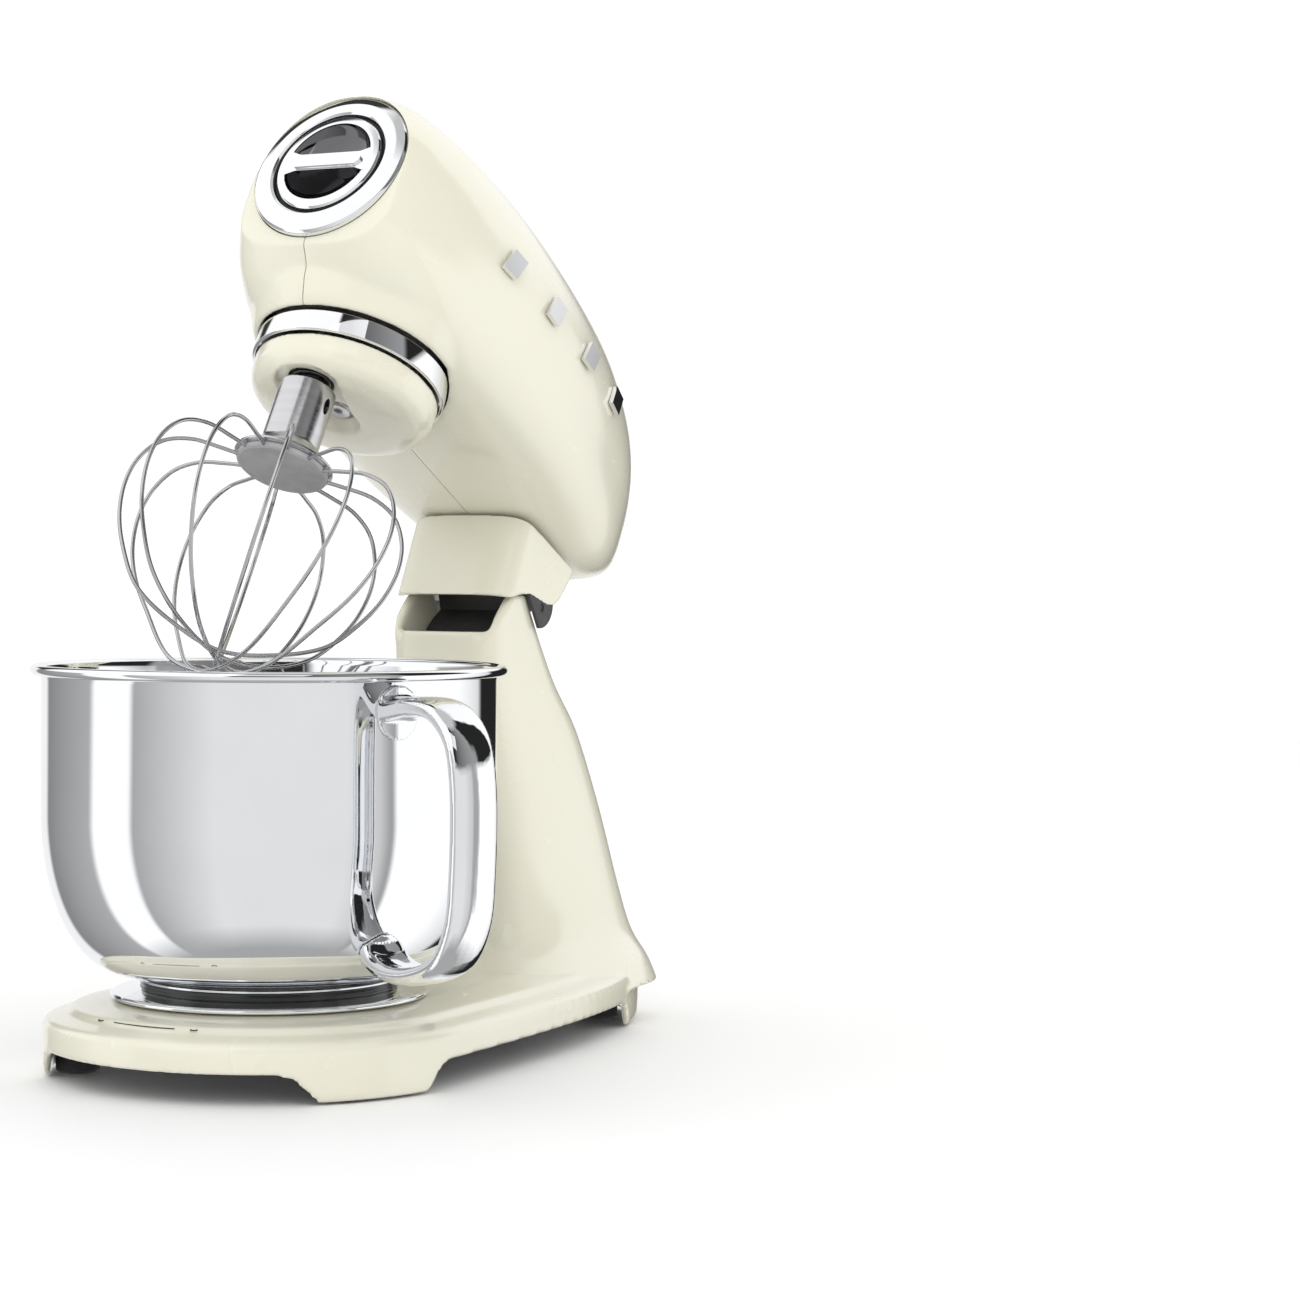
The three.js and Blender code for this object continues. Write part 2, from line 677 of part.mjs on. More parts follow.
// A plain slanted plate that lies on the head's side at a place along it and a level.
function badge(y, level, side) {
  const [, top, bottom, w] = headRowAt(y);
  const on = (yy, angle) => {
    const row = headRowAt(yy);
    const [x, z] = headSection(row[1], row[2], row[3], angle);
    return new THREE.Vector3(x * side, yy, z);
  };
  const belt = bottom + (top - bottom) * beltLevel;
  const angle = Math.asin(Math.min(1, Math.max(0, (level - belt) / (top - belt)) ** 1.1));
  const centre = on(y, angle);
  const along = on(y + 4, angle).sub(on(y - 4, angle)).normalize();
  const up = on(y, angle + 0.05).sub(centre).normalize();
  const out = along.clone().cross(up).multiplyScalar(side).normalize();
  const [halfLength, halfHeight, slant] = [5.6, 7.5, 3];
  const plate = outline([
    [-halfLength - slant, -halfHeight], [halfLength - slant, -halfHeight], [halfLength + slant, halfHeight],
    [-halfLength + slant, halfHeight],
  ]);
  const g = raised(plate, 0, 2.2);
  const frame = new THREE.Matrix4().makeBasis(along.multiplyScalar(side), out.clone().cross(along), out);
  return g.applyMatrix4(frame).translate(...centre.addScaledVector(out, 1).toArray());
}

// ---------------------------------------------------------------- planetary drive

const driveRing = () => turned([
  [driveRingRadius - 1.6, driveRingBottom], [driveRingRadius, driveRingBottom + 0.6], [driveRingRadius, driveRingTop - 0.6],
  [driveRingRadius - 0.8, driveRingTop], [driveRingRadius - 2.2, driveRingTop], [driveRingRadius - 2.2, driveRingBottom + 0.6],
  [driveRingRadius - 1.6, driveRingBottom],
], 56);

// The fixed internal gear. A gap between two teeth faces the beater shaft.
function ringGear() {
  const pitch = gearModule * ringTeeth / 2;
  const rim = new THREE.Shape().absarc(0, 0, driveRingRadius - 2.6, 0, 2 * Math.PI);
  const frontGap = -Math.PI / 2;
  const hole = toothed(ringTeeth, pitch - 1.5, pitch + 1.9, frontGap, 0.74);
  rim.holes.push(new THREE.Path(hole.map(([x, y]) => new THREE.Vector2(x, y))));
  return raised(rim, 229, 236, 16);
}

const shaftY = -beaterOffset;

function planetPinion() {
  const pitch = gearModule * pinionTeeth / 2;
  const shape = outline(toothed(pinionTeeth, pitch - 1.9, pitch + 1.3, -Math.PI / 2, 0.4));
  shape.holes.push(new THREE.Path().absarc(0, 0, 5.7, 0, 2 * Math.PI));
  return raised(shape, 229.4, 235.6, 12).translate(0, shaftY, 0);
}

// The domed cream disc, with a teardrop recess around the beater shaft and the centre bolt.
function planetCarrier() {
  const dome = solid(turned([
    [0, 204], [24, 204.3], [34, 205.6], [40, 208], [43.6, 211.5], [45.3, 216], [45.6, 224.2], [30, 224.2], [28, 227], [0, 227],
  ], 48));
  const recess = solid(raised(teardrop(), 180, 209.4));
  const shaftBore = solid(disc(5.9, 190, 240, 20).translate(0, shaftY, 0));
  const springSeat = solid(disc(11, 190, 217, 24).translate(0, shaftY, 0));
  const pinionRoom = solid(disc(16, 224, 240, 32).translate(0, shaftY, 0));
  const centreBore = solid(disc(5.4, 190, 240, 20));
  const boltSeat = solid(turned([[0, 200], [9, 200], [7.4, 213], [0, 213]], 24));
  return fromSolid(cut(dome, recess, shaftBore, springSeat, pinionRoom, centreBore, boltSeat));
}

// Wide around the shaft and narrow around the bolt.
function teardrop() {
  const shape = new THREE.Shape();
  const big = 17;
  const small = 10.5;
  const lean = Math.asin((big - small) / beaterOffset);
  shape.absarc(0, 0, small, -lean, Math.PI + lean, false);
  shape.absarc(0, shaftY, big, Math.PI + lean, 2 * Math.PI - lean, false);
  return shape;
}

const centralShaft = () => turned([
  [0, 214.5], [4.4, 214.5], [5, 215.2], [5, 305.4], [4.4, 306], [0, 306],
], 20);

const carrierBolt = () => turned([
  [0, 210.6], [2.4, 210.6], [2.4, 208.8], [6.4, 208.8], [7, 209.6], [7, 212.2], [3, 212.6], [3, 214.1], [0, 214.1],
], 20);

const beaterShaft = () => turned([
  [0, 168], [5.6, 168], [6, 168.8], [6, 205], [5.5, 205], [5.5, 236.4], [0, 236.4],
], 20).translate(0, shaftY, 0);

const drivePinHeight = 193;
const drivePin = () => alongX(disc(1.9, -12.6, -6.4, 12), shaftY, drivePinHeight);

function buildDrive(parent) {
  piece('drive_ring', driveRing(), chrome, parent);
  piece('ring_gear', ringGear(), gearSteel, parent);
  piece('planet_carrier', planetCarrier(), cream, parent);
  piece('central_shaft', centralShaft(), gearSteel, parent);
  piece('carrier_bolt', carrierBolt(), steel, parent);
  piece('beater_shaft', beaterShaft(), steel, parent);
  piece('planet_pinion', planetPinion(), gearSteel, parent);
  piece('drive_pin', drivePin(), gearSteel, parent);
  piece('beater_spring', coil(8.2, 9.6, 200.8, 216.6, 5, 0.7).translate(0, shaftY, 0), gearSteel, parent);
}

// ---------------------------------------------------------------- whisk

// Brushed hub with a flared foot, a through hole for the drive pin and room for the spring on top.
function whiskHub() {
  const hub = solid(turned([
    [0, whiskHubBottom], [22, whiskHubBottom], [22.6, 163], [23.8, 163.4], [23.8, 164.6], [20, 166], [15.2, 168.6],
    [whiskHubRadius, 172], [whiskHubRadius, whiskHubTop - 0.8], [whiskHubRadius - 0.8, whiskHubTop], [0, whiskHubTop],
  ], 32));
  const bore = solid(disc(6.5, 163, 210, 20));
  const springRoom = solid(disc(10.8, whiskHubTop - 9, 210, 24));
  const slot = solid(box(-16, 0, -2.5, 2.5, drivePinHeight - 8, drivePinHeight + 3));
  const sideHole = solid(alongX(disc(2.8, 0, 20, 16), 0, 197));
  return fromSolid(cut(hub, bore, springRoom, slot, sideHole)).translate(0, shaftY, 0);
}

// One loop of wire from the hub's rim, out, down and round through the tip to the far side.
function whiskWire(index) {
  const tip = 109.5 - wireStagger * index;
  const side = [
    // distance from the axis, distance below the hub's rim
    [24.4, 0], [42, 0.2], [56, 6], [64, 17], [whiskRadius, 31], [63.5, 48], [56.5, 64], [45, 80], [24, tip - 6],
  ];
  const height = whiskHubBottom + 1.4;
  const points = [...side, [0, tip], ...side.map(([r, s]) => [-r, s]).reverse()];
  const curve = new THREE.CatmullRomCurve3(points.map(([r, s]) => new THREE.Vector3(r, 0, height - s)), false, 'centripetal');
  const turn = (index * 5 % whiskLoops) * 180 / whiskLoops;
  return bar(curve, wireRadius, 24, 4).rotateZ((turn + 8) * rad).translate(0, shaftY, 0);
}

function buildWhisk(parent) {
  piece('whisk_hub', whiskHub(), steel, parent);
  for (let i = 0; i < whiskLoops; i += 1) piece(`whisk_wire_${i + 1}`, whiskWire(i), steel, parent);
}

// ---------------------------------------------------------------- gearbox and motor

function gearboxHousing() {
  const cup = solid(turned([
    [9.4, 240], [44, 240], [44, 303], [41, 303], [41, 245], [9.4, 245], [9.4, 240],
  ], 40));
  return fromSolid(cut(cup, solid(alongY(disc(7, 15, 60, 20), motorX, motorZ))));
}

const gearboxLid = () => washer(9.4, 44, 303.4, 307, 36);
const bearing = (z) => washer(5.15, 9.2, z, z + 5, 24);

function wormWheel() {
  const shape = outline(toothed(wheelTeeth, wheelRadius - 1.9, wheelRadius + 1.4, Math.PI + Math.PI / wheelTeeth, 0.36));
  shape.holes.push(new THREE.Path().absarc(0, 0, 5.3, 0, 2 * Math.PI));
  return raised(shape, motorZ - 3.5, motorZ + 3.5);
}

// The motor's shaft, with one helical thread around its front end.
function motorShaft() {
  const lead = Math.PI * wormModule;
  const [back, wormHalf] = [140, 12.5];
  const sides = 10;
  const rings = [];
  const ringAt = (y, radius) => rings.push(turns(sides).map((a) => {
    const r = typeof radius === 'number' ? radius : radius(a);
    return new THREE.Vector3(r * Math.cos(a), y, r * Math.sin(a));
  }));
  const thread = (y) => (a) => {
    const phase = (y / lead - a / (2 * Math.PI)) % 1;
    const across = Math.abs(((phase + 1.5) % 1) - 0.5);
    const crest = Math.min(1, Math.max(0, (0.3 - across) / 0.14));
    return wormRadius - 1.8 + 3.1 * crest;
  };
  ringAt(-18, 3.8);
  ringAt(-wormHalf - 0.6, 3.8);
  const steps = 26;
  for (let i = 0; i <= steps; i += 1) {
    const y = -wormHalf + 2 * wormHalf * i / steps;
    ringAt(y, thread(y));
  }
  ringAt(wormHalf + 0.6, 4);
  ringAt(back, 4);
  return lofted(rings).translate(motorX, 0, motorZ);
}

function coolingFan() {
  const shape = outline(toothed(9, 9, 25, 0, 0.3));
  shape.holes.push(new THREE.Path().absarc(0, 0, 4.3, 0, 2 * Math.PI));
  return alongY(raised(shape, 116, 124), motorX, motorZ);
}

// Circuit board with two capacitors and a heat sink standing on it.
function controlBoard() {
  const plate = solid(box(34, 35.6, 56, 128, 262, 316));
  const capacitor = (y, z, r) => solid(disc(r, 22, 34.4, 16).rotateY(Math.PI / 2).translate(0, y, z));
  const sink = solid(box(24, 34.4, 104, 122, 270, 304));
  return fromSolid(join(plate, capacitor(68, 280, 5), capacitor(84, 296, 6), sink));
}

function buildMotor(parent) {
  piece('gearbox_housing', gearboxHousing(), casting, parent);
  piece('gearbox_lid', gearboxLid(), casting, parent);
  piece('lower_bearing', bearing(240), gearSteel, parent);
  piece('upper_bearing', bearing(302.7), gearSteel, parent);
  piece('worm_wheel', wormWheel(), gearSteel, parent);
  piece('motor_shaft', motorShaft(), gearSteel, parent);
  piece('motor_rotor', alongY(washer(4.3, 18.4, 62, 106, 28), motorX, motorZ), copper, parent);
  piece('motor_stator', alongY(washer(19, 28, 58, 110, 32), motorX, motorZ), gearSteel, parent);
  piece('cooling_fan', coolingFan(), darkPlastic, parent);
  piece('control_board', controlBoard(), board, parent);
}

// ---------------------------------------------------------------- speed lever

const leverSlope = -4.8; // degrees, the head's top falls gently towards the back
const leverFrame = new THREE.Matrix4().makeTranslation(0, 82, 358.9)
  .multiply(new THREE.Matrix4().makeRotationX(leverSlope * rad));

function speedLever() {
  const stem = solid(box(-2.2, 2.2, -26, -20, -8, 8));
  const slide = solid(box(-8, 8, -31, -4, -8.2, -7));
  const knob = solid(turned([[0, 3.2], [7.4, 3.2], [8.6, 5], [8.6, 9], [7, 12], [0, 13]], 28)).translate([0, -23, 0]);
  return fromSolid(join(stem, slide, knob)).applyMatrix4(leverFrame);
}

function speedScale() {
  const plate = solid(raised(outline([[-8.5, -36], [8.5, -36], [8.5, 36], [-8.5, 36]]), 0.9, 2.1));
  return fromSolid(cut(plate, solid(box(-3, 3, -30, 30, -1, 4)))).applyMatrix4(leverFrame);
}

function buildHead() {
  const shells = headShells();
  piece('head_shell_right', shells.right, cream, head);
  piece('head_shell_left', shells.left, cream, head);
  piece('neck_collar', neckCollar(), cream, head);
  piece('hinge_arm', hingeArm(), darkPlastic, head);
  const bush = alongX(washer(5.15, 8, -cheekInner + 0.8, cheekInner - 0.8, 24), hinge.y, hinge.z);
  piece('hinge_bush', bush, copper, head);
  piece('cap_bezel', capBezel(), chrome, head);
  piece('hub_cover', hubCover(), chrome, head);
  piece('attachment_hub', attachmentHub(), casting, head);
  piece('speed_lever', speedLever(), chrome, head);
  piece('speed_scale', speedScale(), chrome, head);
  for (let i = 0; i < 4; i += 1) {
    const y = 14 + 41 * i;
    piece(`badge_right_${i + 1}`, badge(y, badgeLevel, 1), chrome, head);
    piece(`badge_left_${i + 1}`, badge(y, badgeLevel, -1), chrome, head);
  }
}

buildStand();
buildRelease();
buildBowl();
buildHead();
buildDrive(head);
buildWhisk(head);
buildMotor(head);

// ---------------------------------------------------------------- placing

// Tilt the head back about the hinge pin.
head.position.set(0, hinge.y, hinge.z);
head.rotation.x = -headTilt * rad;
for (const child of head.children) child.position.add(new THREE.Vector3(0, -hinge.y, -hinge.z));

// Stand the whole object on Z = 0 with its box centred on the origin.
mixer.updateMatrixWorld(true);
const bounds = new THREE.Box3().setFromObject(mixer, true);
const middle = bounds.getCenter(new THREE.Vector3());
mixer.position.set(-middle.x, -middle.y, -bounds.min.z);

export default mixer;
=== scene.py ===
import json
import math

import bmesh
import bpy
from mathutils import Matrix, Vector


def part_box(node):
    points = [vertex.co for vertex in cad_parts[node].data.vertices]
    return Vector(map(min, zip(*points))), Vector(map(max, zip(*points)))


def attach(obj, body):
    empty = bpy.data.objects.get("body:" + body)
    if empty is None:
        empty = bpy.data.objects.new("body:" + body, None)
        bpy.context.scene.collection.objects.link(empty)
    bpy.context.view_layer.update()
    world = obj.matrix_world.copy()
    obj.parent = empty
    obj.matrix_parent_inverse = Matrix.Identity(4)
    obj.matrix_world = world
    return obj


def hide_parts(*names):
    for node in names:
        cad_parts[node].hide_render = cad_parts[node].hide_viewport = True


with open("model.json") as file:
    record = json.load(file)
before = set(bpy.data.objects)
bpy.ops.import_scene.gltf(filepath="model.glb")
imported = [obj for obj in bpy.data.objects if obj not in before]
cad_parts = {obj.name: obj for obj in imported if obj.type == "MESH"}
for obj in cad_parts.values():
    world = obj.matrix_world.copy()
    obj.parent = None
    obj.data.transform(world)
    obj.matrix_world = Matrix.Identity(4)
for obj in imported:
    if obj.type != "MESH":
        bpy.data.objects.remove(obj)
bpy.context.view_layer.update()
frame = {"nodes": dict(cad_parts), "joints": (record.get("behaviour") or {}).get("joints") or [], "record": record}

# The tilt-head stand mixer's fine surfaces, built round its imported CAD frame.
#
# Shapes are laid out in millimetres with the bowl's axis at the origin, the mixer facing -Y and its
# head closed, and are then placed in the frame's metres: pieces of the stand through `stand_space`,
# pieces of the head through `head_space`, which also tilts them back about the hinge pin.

# ---------------------------------------- placing

MM = 0.001


def middle_of(node):
    low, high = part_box(node)
    return (low + high) / 2


bowl_axis = middle_of("bowl_shell")
stand_space = Matrix.Translation((bowl_axis.x, bowl_axis.y, 0)) @ Matrix.Scale(MM, 4)

hinge = stand_space.inverted() @ middle_of("hinge_pin")
head_joint = next(joint for joint in frame["joints"] if joint["name"] == "head_tilt")
head_tilt = math.radians(head_joint["range_deg"][1])
tilt_back = (
    Matrix.Translation(hinge) @ Matrix.Rotation(-head_tilt, 4, "X") @ Matrix.Translation(-hinge)
)
head_space = stand_space @ tilt_back

cap_centre = (0, -65.2, 307.3)
cap_pitch = 4
cap_turn = Matrix.Rotation(math.radians(90 - cap_pitch), 4, "X")
cap_space = head_space @ Matrix.Translation(cap_centre) @ cap_turn

beater_offset = 26
beater_space = head_space @ Matrix.Translation((0, -beater_offset, 0))

lever_centre = (0, 82, 358.9)
lever_slope = -4.8
lever_turn = Matrix.Rotation(math.radians(lever_slope), 4, "X")
lever_space = head_space @ Matrix.Translation(lever_centre) @ lever_turn

# ---------------------------------------- dimensions, millimetres

rim_height = 190
rim_radius = 110.5
bowl_radius = 105.4
bowl_steel = 1.6
bowl_floor = 45.2
bowl_edge = 65.4
handle_bearing = 67

base_radius = 103.5
base_end = 272
base_shoulder = 27
base_top = 35.6
arch_height = 14
well_radius = 62

cheek_outer = 32.4
cheek_inner = 26.4
pin_reach = 30
column_front = 143
column_top = 221.5
pocket_lip = 203
arm_reach = 64

neck_top = 225.2
neck_front = 124.6
neck_half_width = 35.2
neck_wall = 2.2
neck_rake = 0.09

ring_radius = 47.8
ring_bottom = 225.1
ring_top = 236.3

hub_radius = 13.8
hub_bottom = 160
hub_top = 205
whisk_radius = 66
whisk_loops = 6

button_height = 104
gland_side = -34
gland_height = 26

# ---------------------------------------- mesh tools


def new_object(name, vertices, faces):
    mesh = bpy.data.meshes.new(name)
    mesh.from_pydata([tuple(v) for v in vertices], [], faces)
    mesh.update()
    made = bpy.data.objects.new(name, mesh)
    bpy.context.scene.collection.objects.link(made)
    return made


def turned_out(made):
    """Welds doubled vertices and points every face outwards."""
    mesh = bmesh.new()
    mesh.from_mesh(made.data)
    bmesh.ops.remove_doubles(mesh, verts=mesh.verts, dist=1e-4)
    bmesh.ops.recalc_face_normals(mesh, faces=mesh.faces)
    mesh.to_mesh(made.data)
    mesh.free()
    return made


def loft(rings, closed_path=False):
    """A skin over rings of equal length, capped at both ends unless the path closes on itself."""
    count = len(rings[0])
    vertices = [point for ring in rings for point in ring]
    faces = []
    steps = len(rings) if closed_path else len(rings) - 1
    for r in range(steps):
        here, there = r * count, (r + 1) % len(rings) * count
        for i in range(count):
            j = (i + 1) % count
            faces.append((here + i, here + j, there + j, there + i))
    if not closed_path:
        faces.append(tuple(range(count)))
        faces.append(tuple(range((len(rings) - 1) * count, len(rings) * count)))
    return turned_out(new_object("loft", vertices, faces))


def around(count):
    return [2 * math.pi * i / count for i in range(count)]


def lathe(profile, segments=160):
    """A closed profile of (radius, height) turned about Z. Its ends may lie on the axis."""
    rings = [[(r * math.cos(a), r * math.sin(a), z) for a in around(segments)] for r, z in profile]
    on_axis = profile[0][0] == 0 and profile[-1][0] == 0
    return loft(rings, closed_path=not on_axis)


def filleted(points, steps=5):
    """Rounds the corners of an outline. Each point is (x, y) or (x, y, fillet radius)."""
    out = []
    last = len(points) - 1
    for i, point in enumerate(points):
        here = Vector(point[:2])
        radius = point[2] if len(point) > 2 else 0
        if radius == 0 or i in (0, last):
            out.append((here.x, here.y))
            continue
        before = Vector(points[i - 1][:2]) - here
        after = Vector(points[i + 1][:2]) - here
        turn = before.angle(after, math.pi)
        reach = radius / math.tan(turn / 2) if turn < math.pi - 1e-3 else 0
        reach = min(reach, before.length * 0.49, after.length * 0.49)
        start = here + before.normalized() * reach
        end = here + after.normalized() * reach
        for k in range(steps + 1):
            t = k / steps
            bent = (1 - t) ** 2 * start + 2 * t * (1 - t) * here + t * t * end
            out.append((bent.x, bent.y))
    return out


def slab(outline, axis, low, high):
    """A flat outline pushed along an axis: "X" takes (y, z) points, "Y" (x, z) and "Z" (x, y)."""
    place = {
        "X": lambda a, b, c: (c, a, b),
        "Y": lambda a, b, c: (a, c, b),
        "Z": lambda a, b, c: (a, b, c),
    }[axis]
    return loft([[place(a, b, depth) for a, b in outline] for depth in (low, high)])


def block(x0, x1, y0, y1, z0, z1):
    return slab([(x0, y0), (x1, y0), (x1, y1), (x0, y1)], "Z", z0, z1)


def rod(radius, low, high, axis="Z", centre=(0, 0), segments=64):
    across, up = centre
    outline = [(across + radius * math.cos(a), up + radius * math.sin(a)) for a in around(segments)]
    return slab(outline, axis, low, high)


def tube(path, radius, sides=14, closed_path=False):
    """A round tube along a list of points. The radius may be a function of the share of the way."""
    points = [Vector(p) for p in path]
    count = len(points)
    rings = []
    side = None
    for i, point in enumerate(points):
        before = points[i - 1] if i or closed_path else points[0]
        after = points[(i + 1) % count] if i + 1 < count or closed_path else points[-1]
        along = (after - before).normalized()
        if side is None:
            side = along.orthogonal().normalized()
        side = (side - along * side.dot(along)).normalized()
        up = along.cross(side)
        reach = radius(i / (count - 1)) if callable(radius) else radius
        rings.append([point + reach * (math.cos(a) * side + math.sin(a) * up) for a in around(sides)])
    return loft(rings, closed_path)


def smooth_path(points, per_span=12):
    """A centripetal Catmull-Rom curve through the points."""
    points = [Vector(p) for p in points]
    ends = [2 * points[0] - points[1], *points, 2 * points[-1] - points[-2]]
    out = []
    for i in range(len(points) - 1):
        p = ends[i:i + 4]
        t = [0.0]
        for a, b in zip(p, p[1:]):
            t.append(t[-1] + (b - a).length ** 0.5)
        for k in range(per_span):
            s = t[1] + (t[2] - t[1]) * k / per_span
            a1, a2, a3 = (p[j].lerp(p[j + 1], (s - t[j]) / (t[j + 1] - t[j])) for j in range(3))
            b1 = a1.lerp(a2, (s - t[0]) / (t[2] - t[0]))
            b2 = a2.lerp(a3, (s - t[1]) / (t[3] - t[1]))
            out.append(b1.lerp(b2, (s - t[1]) / (t[2] - t[1])))
    out.append(points[-1])
    return out


def bend_power(value, power):
    return math.copysign(abs(value) ** power, value)


def superellipse(angle, half_width, half_height, exponent):
    x = half_width * bend_power(math.cos(angle), 2 / exponent)
    y = half_height * bend_power(math.sin(angle), 2 / exponent)
    return x, y


def blended(stations, between):
    """Rows between stations, eased smoothly; each station is a list of values."""
    rows = []
    last = len(stations) - 1
    for i in range(last):
        before, here = stations[max(i - 1, 0)], stations[i]
        there, after = stations[i + 1], stations[min(i + 2, last)]
        for step in range(between):
            t = step / between
            rows.append([
                (2 * t ** 3 - 3 * t ** 2 + 1) * p1 + (t ** 3 - 2 * t ** 2 + t) * (p2 - p0) / 2
                + (3 * t ** 2 - 2 * t ** 3) * p2 + (t ** 3 - t ** 2) * (p3 - p1) / 2
                for p0, p1, p2, p3 in zip(before, here, there, after)
            ])
    rows.append(list(stations[last]))
    return rows


def applied(made):
    """Bakes the object's modifiers into its mesh."""
    graph = bpy.context.evaluated_depsgraph_get()
    mesh = bpy.data.meshes.new_from_object(made.evaluated_get(graph))
    made.modifiers.clear()
    old = made.data
    made.data = mesh
    bpy.data.meshes.remove(old)
    return made


def fuse_loose(objects):
    """Several objects as one mesh, without a boolean."""
    mesh = bmesh.new()
    for made in objects:
        mesh.from_mesh(made.data)
        bpy.data.objects.remove(made)
    whole = new_object("loose", [], [])
    mesh.to_mesh(whole.data)
    mesh.free()
    return whole


def combined(body, tools, operation):
    for tool in tools:
        step = body.modifiers.new(operation, "BOOLEAN")
        step.operation = operation
        step.solver = "EXACT"
        step.object = tool
        applied(body)
        bpy.data.objects.remove(tool)
    return body


def carve(body, *tools):
    return combined(body, tools, "DIFFERENCE")


def fuse(body, *tools):
    return combined(body, tools, "UNION")


def overlap_of(body, *tools):
    return combined(body, tools, "INTERSECT")


def softened(body, voxel, passes):
    """Remeshes a solid evenly and relaxes it, so that its edges round off as on a painted casting."""
    remesh = body.modifiers.new("even", "REMESH")
    remesh.mode = "VOXEL"
    remesh.voxel_size = voxel
    relax = body.modifiers.new("relax", "SMOOTH")
    relax.factor = 0.5
    relax.iterations = passes
    return applied(body)


def bevelled(body, width, segments=3, angle=35):
    bevel = body.modifiers.new("bevel", "BEVEL")
    bevel.width = width
    bevel.segments = segments
    bevel.limit_method = "ANGLE"
    bevel.angle_limit = math.radians(angle)
    return applied(body)


def shaded(made, sharp_angle=None):
    made.data.shade_smooth()
    if sharp_angle is not None:
        made.data.set_sharp_from_angle(angle=math.radians(sharp_angle))
    return made


def finished(made, name, body, material, space=stand_space, stands_for=(), sharp_angle=None):
    """Places a piece in the frame, gives it its material and lets it ride on its CAD body."""
    made.name = name
    made.data.name = name
    made.data.transform(space)
    shaded(made, sharp_angle)
    made.data.materials.clear()
    made.data.materials.append(material)
    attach(made, body)
    if stands_for:
        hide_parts(*stands_for)
    return made


# ---------------------------------------- materials


def socket_link(tree, value, target):
    if isinstance(value, (int, float, tuple)):
        target.default_value = value
    else:
        tree.links.new(value, target)


def spots(tree, scale, detail=3.0, stretch=(1, 1, 1), turn=0.0):
    """Noise in the piece's own coordinates, stretched along an axis that may be turned about X."""
    place = tree.nodes.new("ShaderNodeTexCoord")
    mapping = tree.nodes.new("ShaderNodeMapping")
    mapping.inputs["Rotation"].default_value = (turn, 0, 0)
    stretched = tree.nodes.new("ShaderNodeVectorMath")
    stretched.operation = "MULTIPLY"
    stretched.inputs[1].default_value = stretch
    noise = tree.nodes.new("ShaderNodeTexNoise")
    noise.inputs["Scale"].default_value = scale
    noise.inputs["Detail"].default_value = detail
    tree.links.new(place.outputs["Object"], mapping.inputs["Vector"])
    tree.links.new(mapping.outputs["Vector"], stretched.inputs[0])
    tree.links.new(stretched.outputs["Vector"], noise.inputs["Vector"])
    return noise.outputs["Fac"]


def ranged(tree, value, low, high, first=0.3, last=0.7):
    """Spreads first to last over low to high: as a rule, the span that most of a noise covers."""
    node = tree.nodes.new("ShaderNodeMapRange")
    node.inputs["From Min"].default_value = first
    node.inputs["From Max"].default_value = last
    node.inputs["To Min"].default_value = low
    node.inputs["To Max"].default_value = high
    tree.links.new(value, node.inputs["Value"])
    return node.outputs["Result"]


def mixed(tree, share, first, second):
    node = tree.nodes.new("ShaderNodeMix")
    node.data_type = "RGBA"
    socket_link(tree, share, node.inputs["Factor"])
    socket_link(tree, first, node.inputs["A"])
    socket_link(tree, second, node.inputs["B"])
    return node.outputs["Result"]


def relief(tree, height, strength, distance):
    """Bump from a pattern. The distance is in metres."""
    node = tree.nodes.new("ShaderNodeBump")
    node.inputs["Strength"].default_value = strength
    node.inputs["Distance"].default_value = distance
    tree.links.new(height, node.inputs["Height"])
    return node.outputs["Normal"]


def edge_share(tree, low, high):
    """Rises from 0 to 1 where the surface turns sharply outwards."""
    geometry = tree.nodes.new("ShaderNodeNewGeometry")
    return ranged(tree, geometry.outputs["Pointiness"], 0, 1, low, high)


def surface(name, slot, metallic=0.0, **constants):
    """A Principled material. Returns it with its node tree and shader."""
    material = bpy.data.materials.new(name)
    material.use_nodes = True
    material["slot"] = slot
    shader = material.node_tree.nodes["Principled BSDF"]
    shader.inputs["Metallic"].default_value = metallic
    for key, value in constants.items():
        shader.inputs[key.replace("_", " ")].default_value = value
    return material, material.node_tree, shader


def cream_enamel():
    material, tree, shader = surface(
        "cream_enamel", "cream_enamel", Coat_Weight=0.7, Coat_Roughness=0.03,
    )
    cloud = ranged(tree, spots(tree, 9), 0, 1)
    paint = mixed(tree, cloud, (0.80, 0.776, 0.635, 1), (0.815, 0.793, 0.655, 1))
    # Painted highlight: the paint turns a lighter cream on sharp outward edges.
    edge_wear_and_highlight = mixed(tree, edge_share(tree, 0.53, 0.62), paint, (0.84, 0.82, 0.71, 1))
    tree.links.new(edge_wear_and_highlight, shader.inputs["Base Color"])
    tree.links.new(ranged(tree, spots(tree, 30), 0.24, 0.28), shader.inputs["Roughness"])
    tree.links.new(relief(tree, spots(tree, 700, 1), 0.02, 0.0002), shader.inputs["Normal"])
    return material


def polished(name, slot, smooth, dull, dark=(0.86, 0.87, 0.885, 1), light=(0.9, 0.91, 0.92, 1)):
    material, tree, shader = surface(name, slot, metallic=1.0)
    film = ranged(tree, spots(tree, 25), 0, 1)
    tree.links.new(mixed(tree, film, dark, light), shader.inputs["Base Color"])
    tree.links.new(ranged(tree, spots(tree, 140), smooth, dull), shader.inputs["Roughness"])
    tree.links.new(relief(tree, spots(tree, 90, 1), 0.01, 0.0003), shader.inputs["Normal"])
    return material


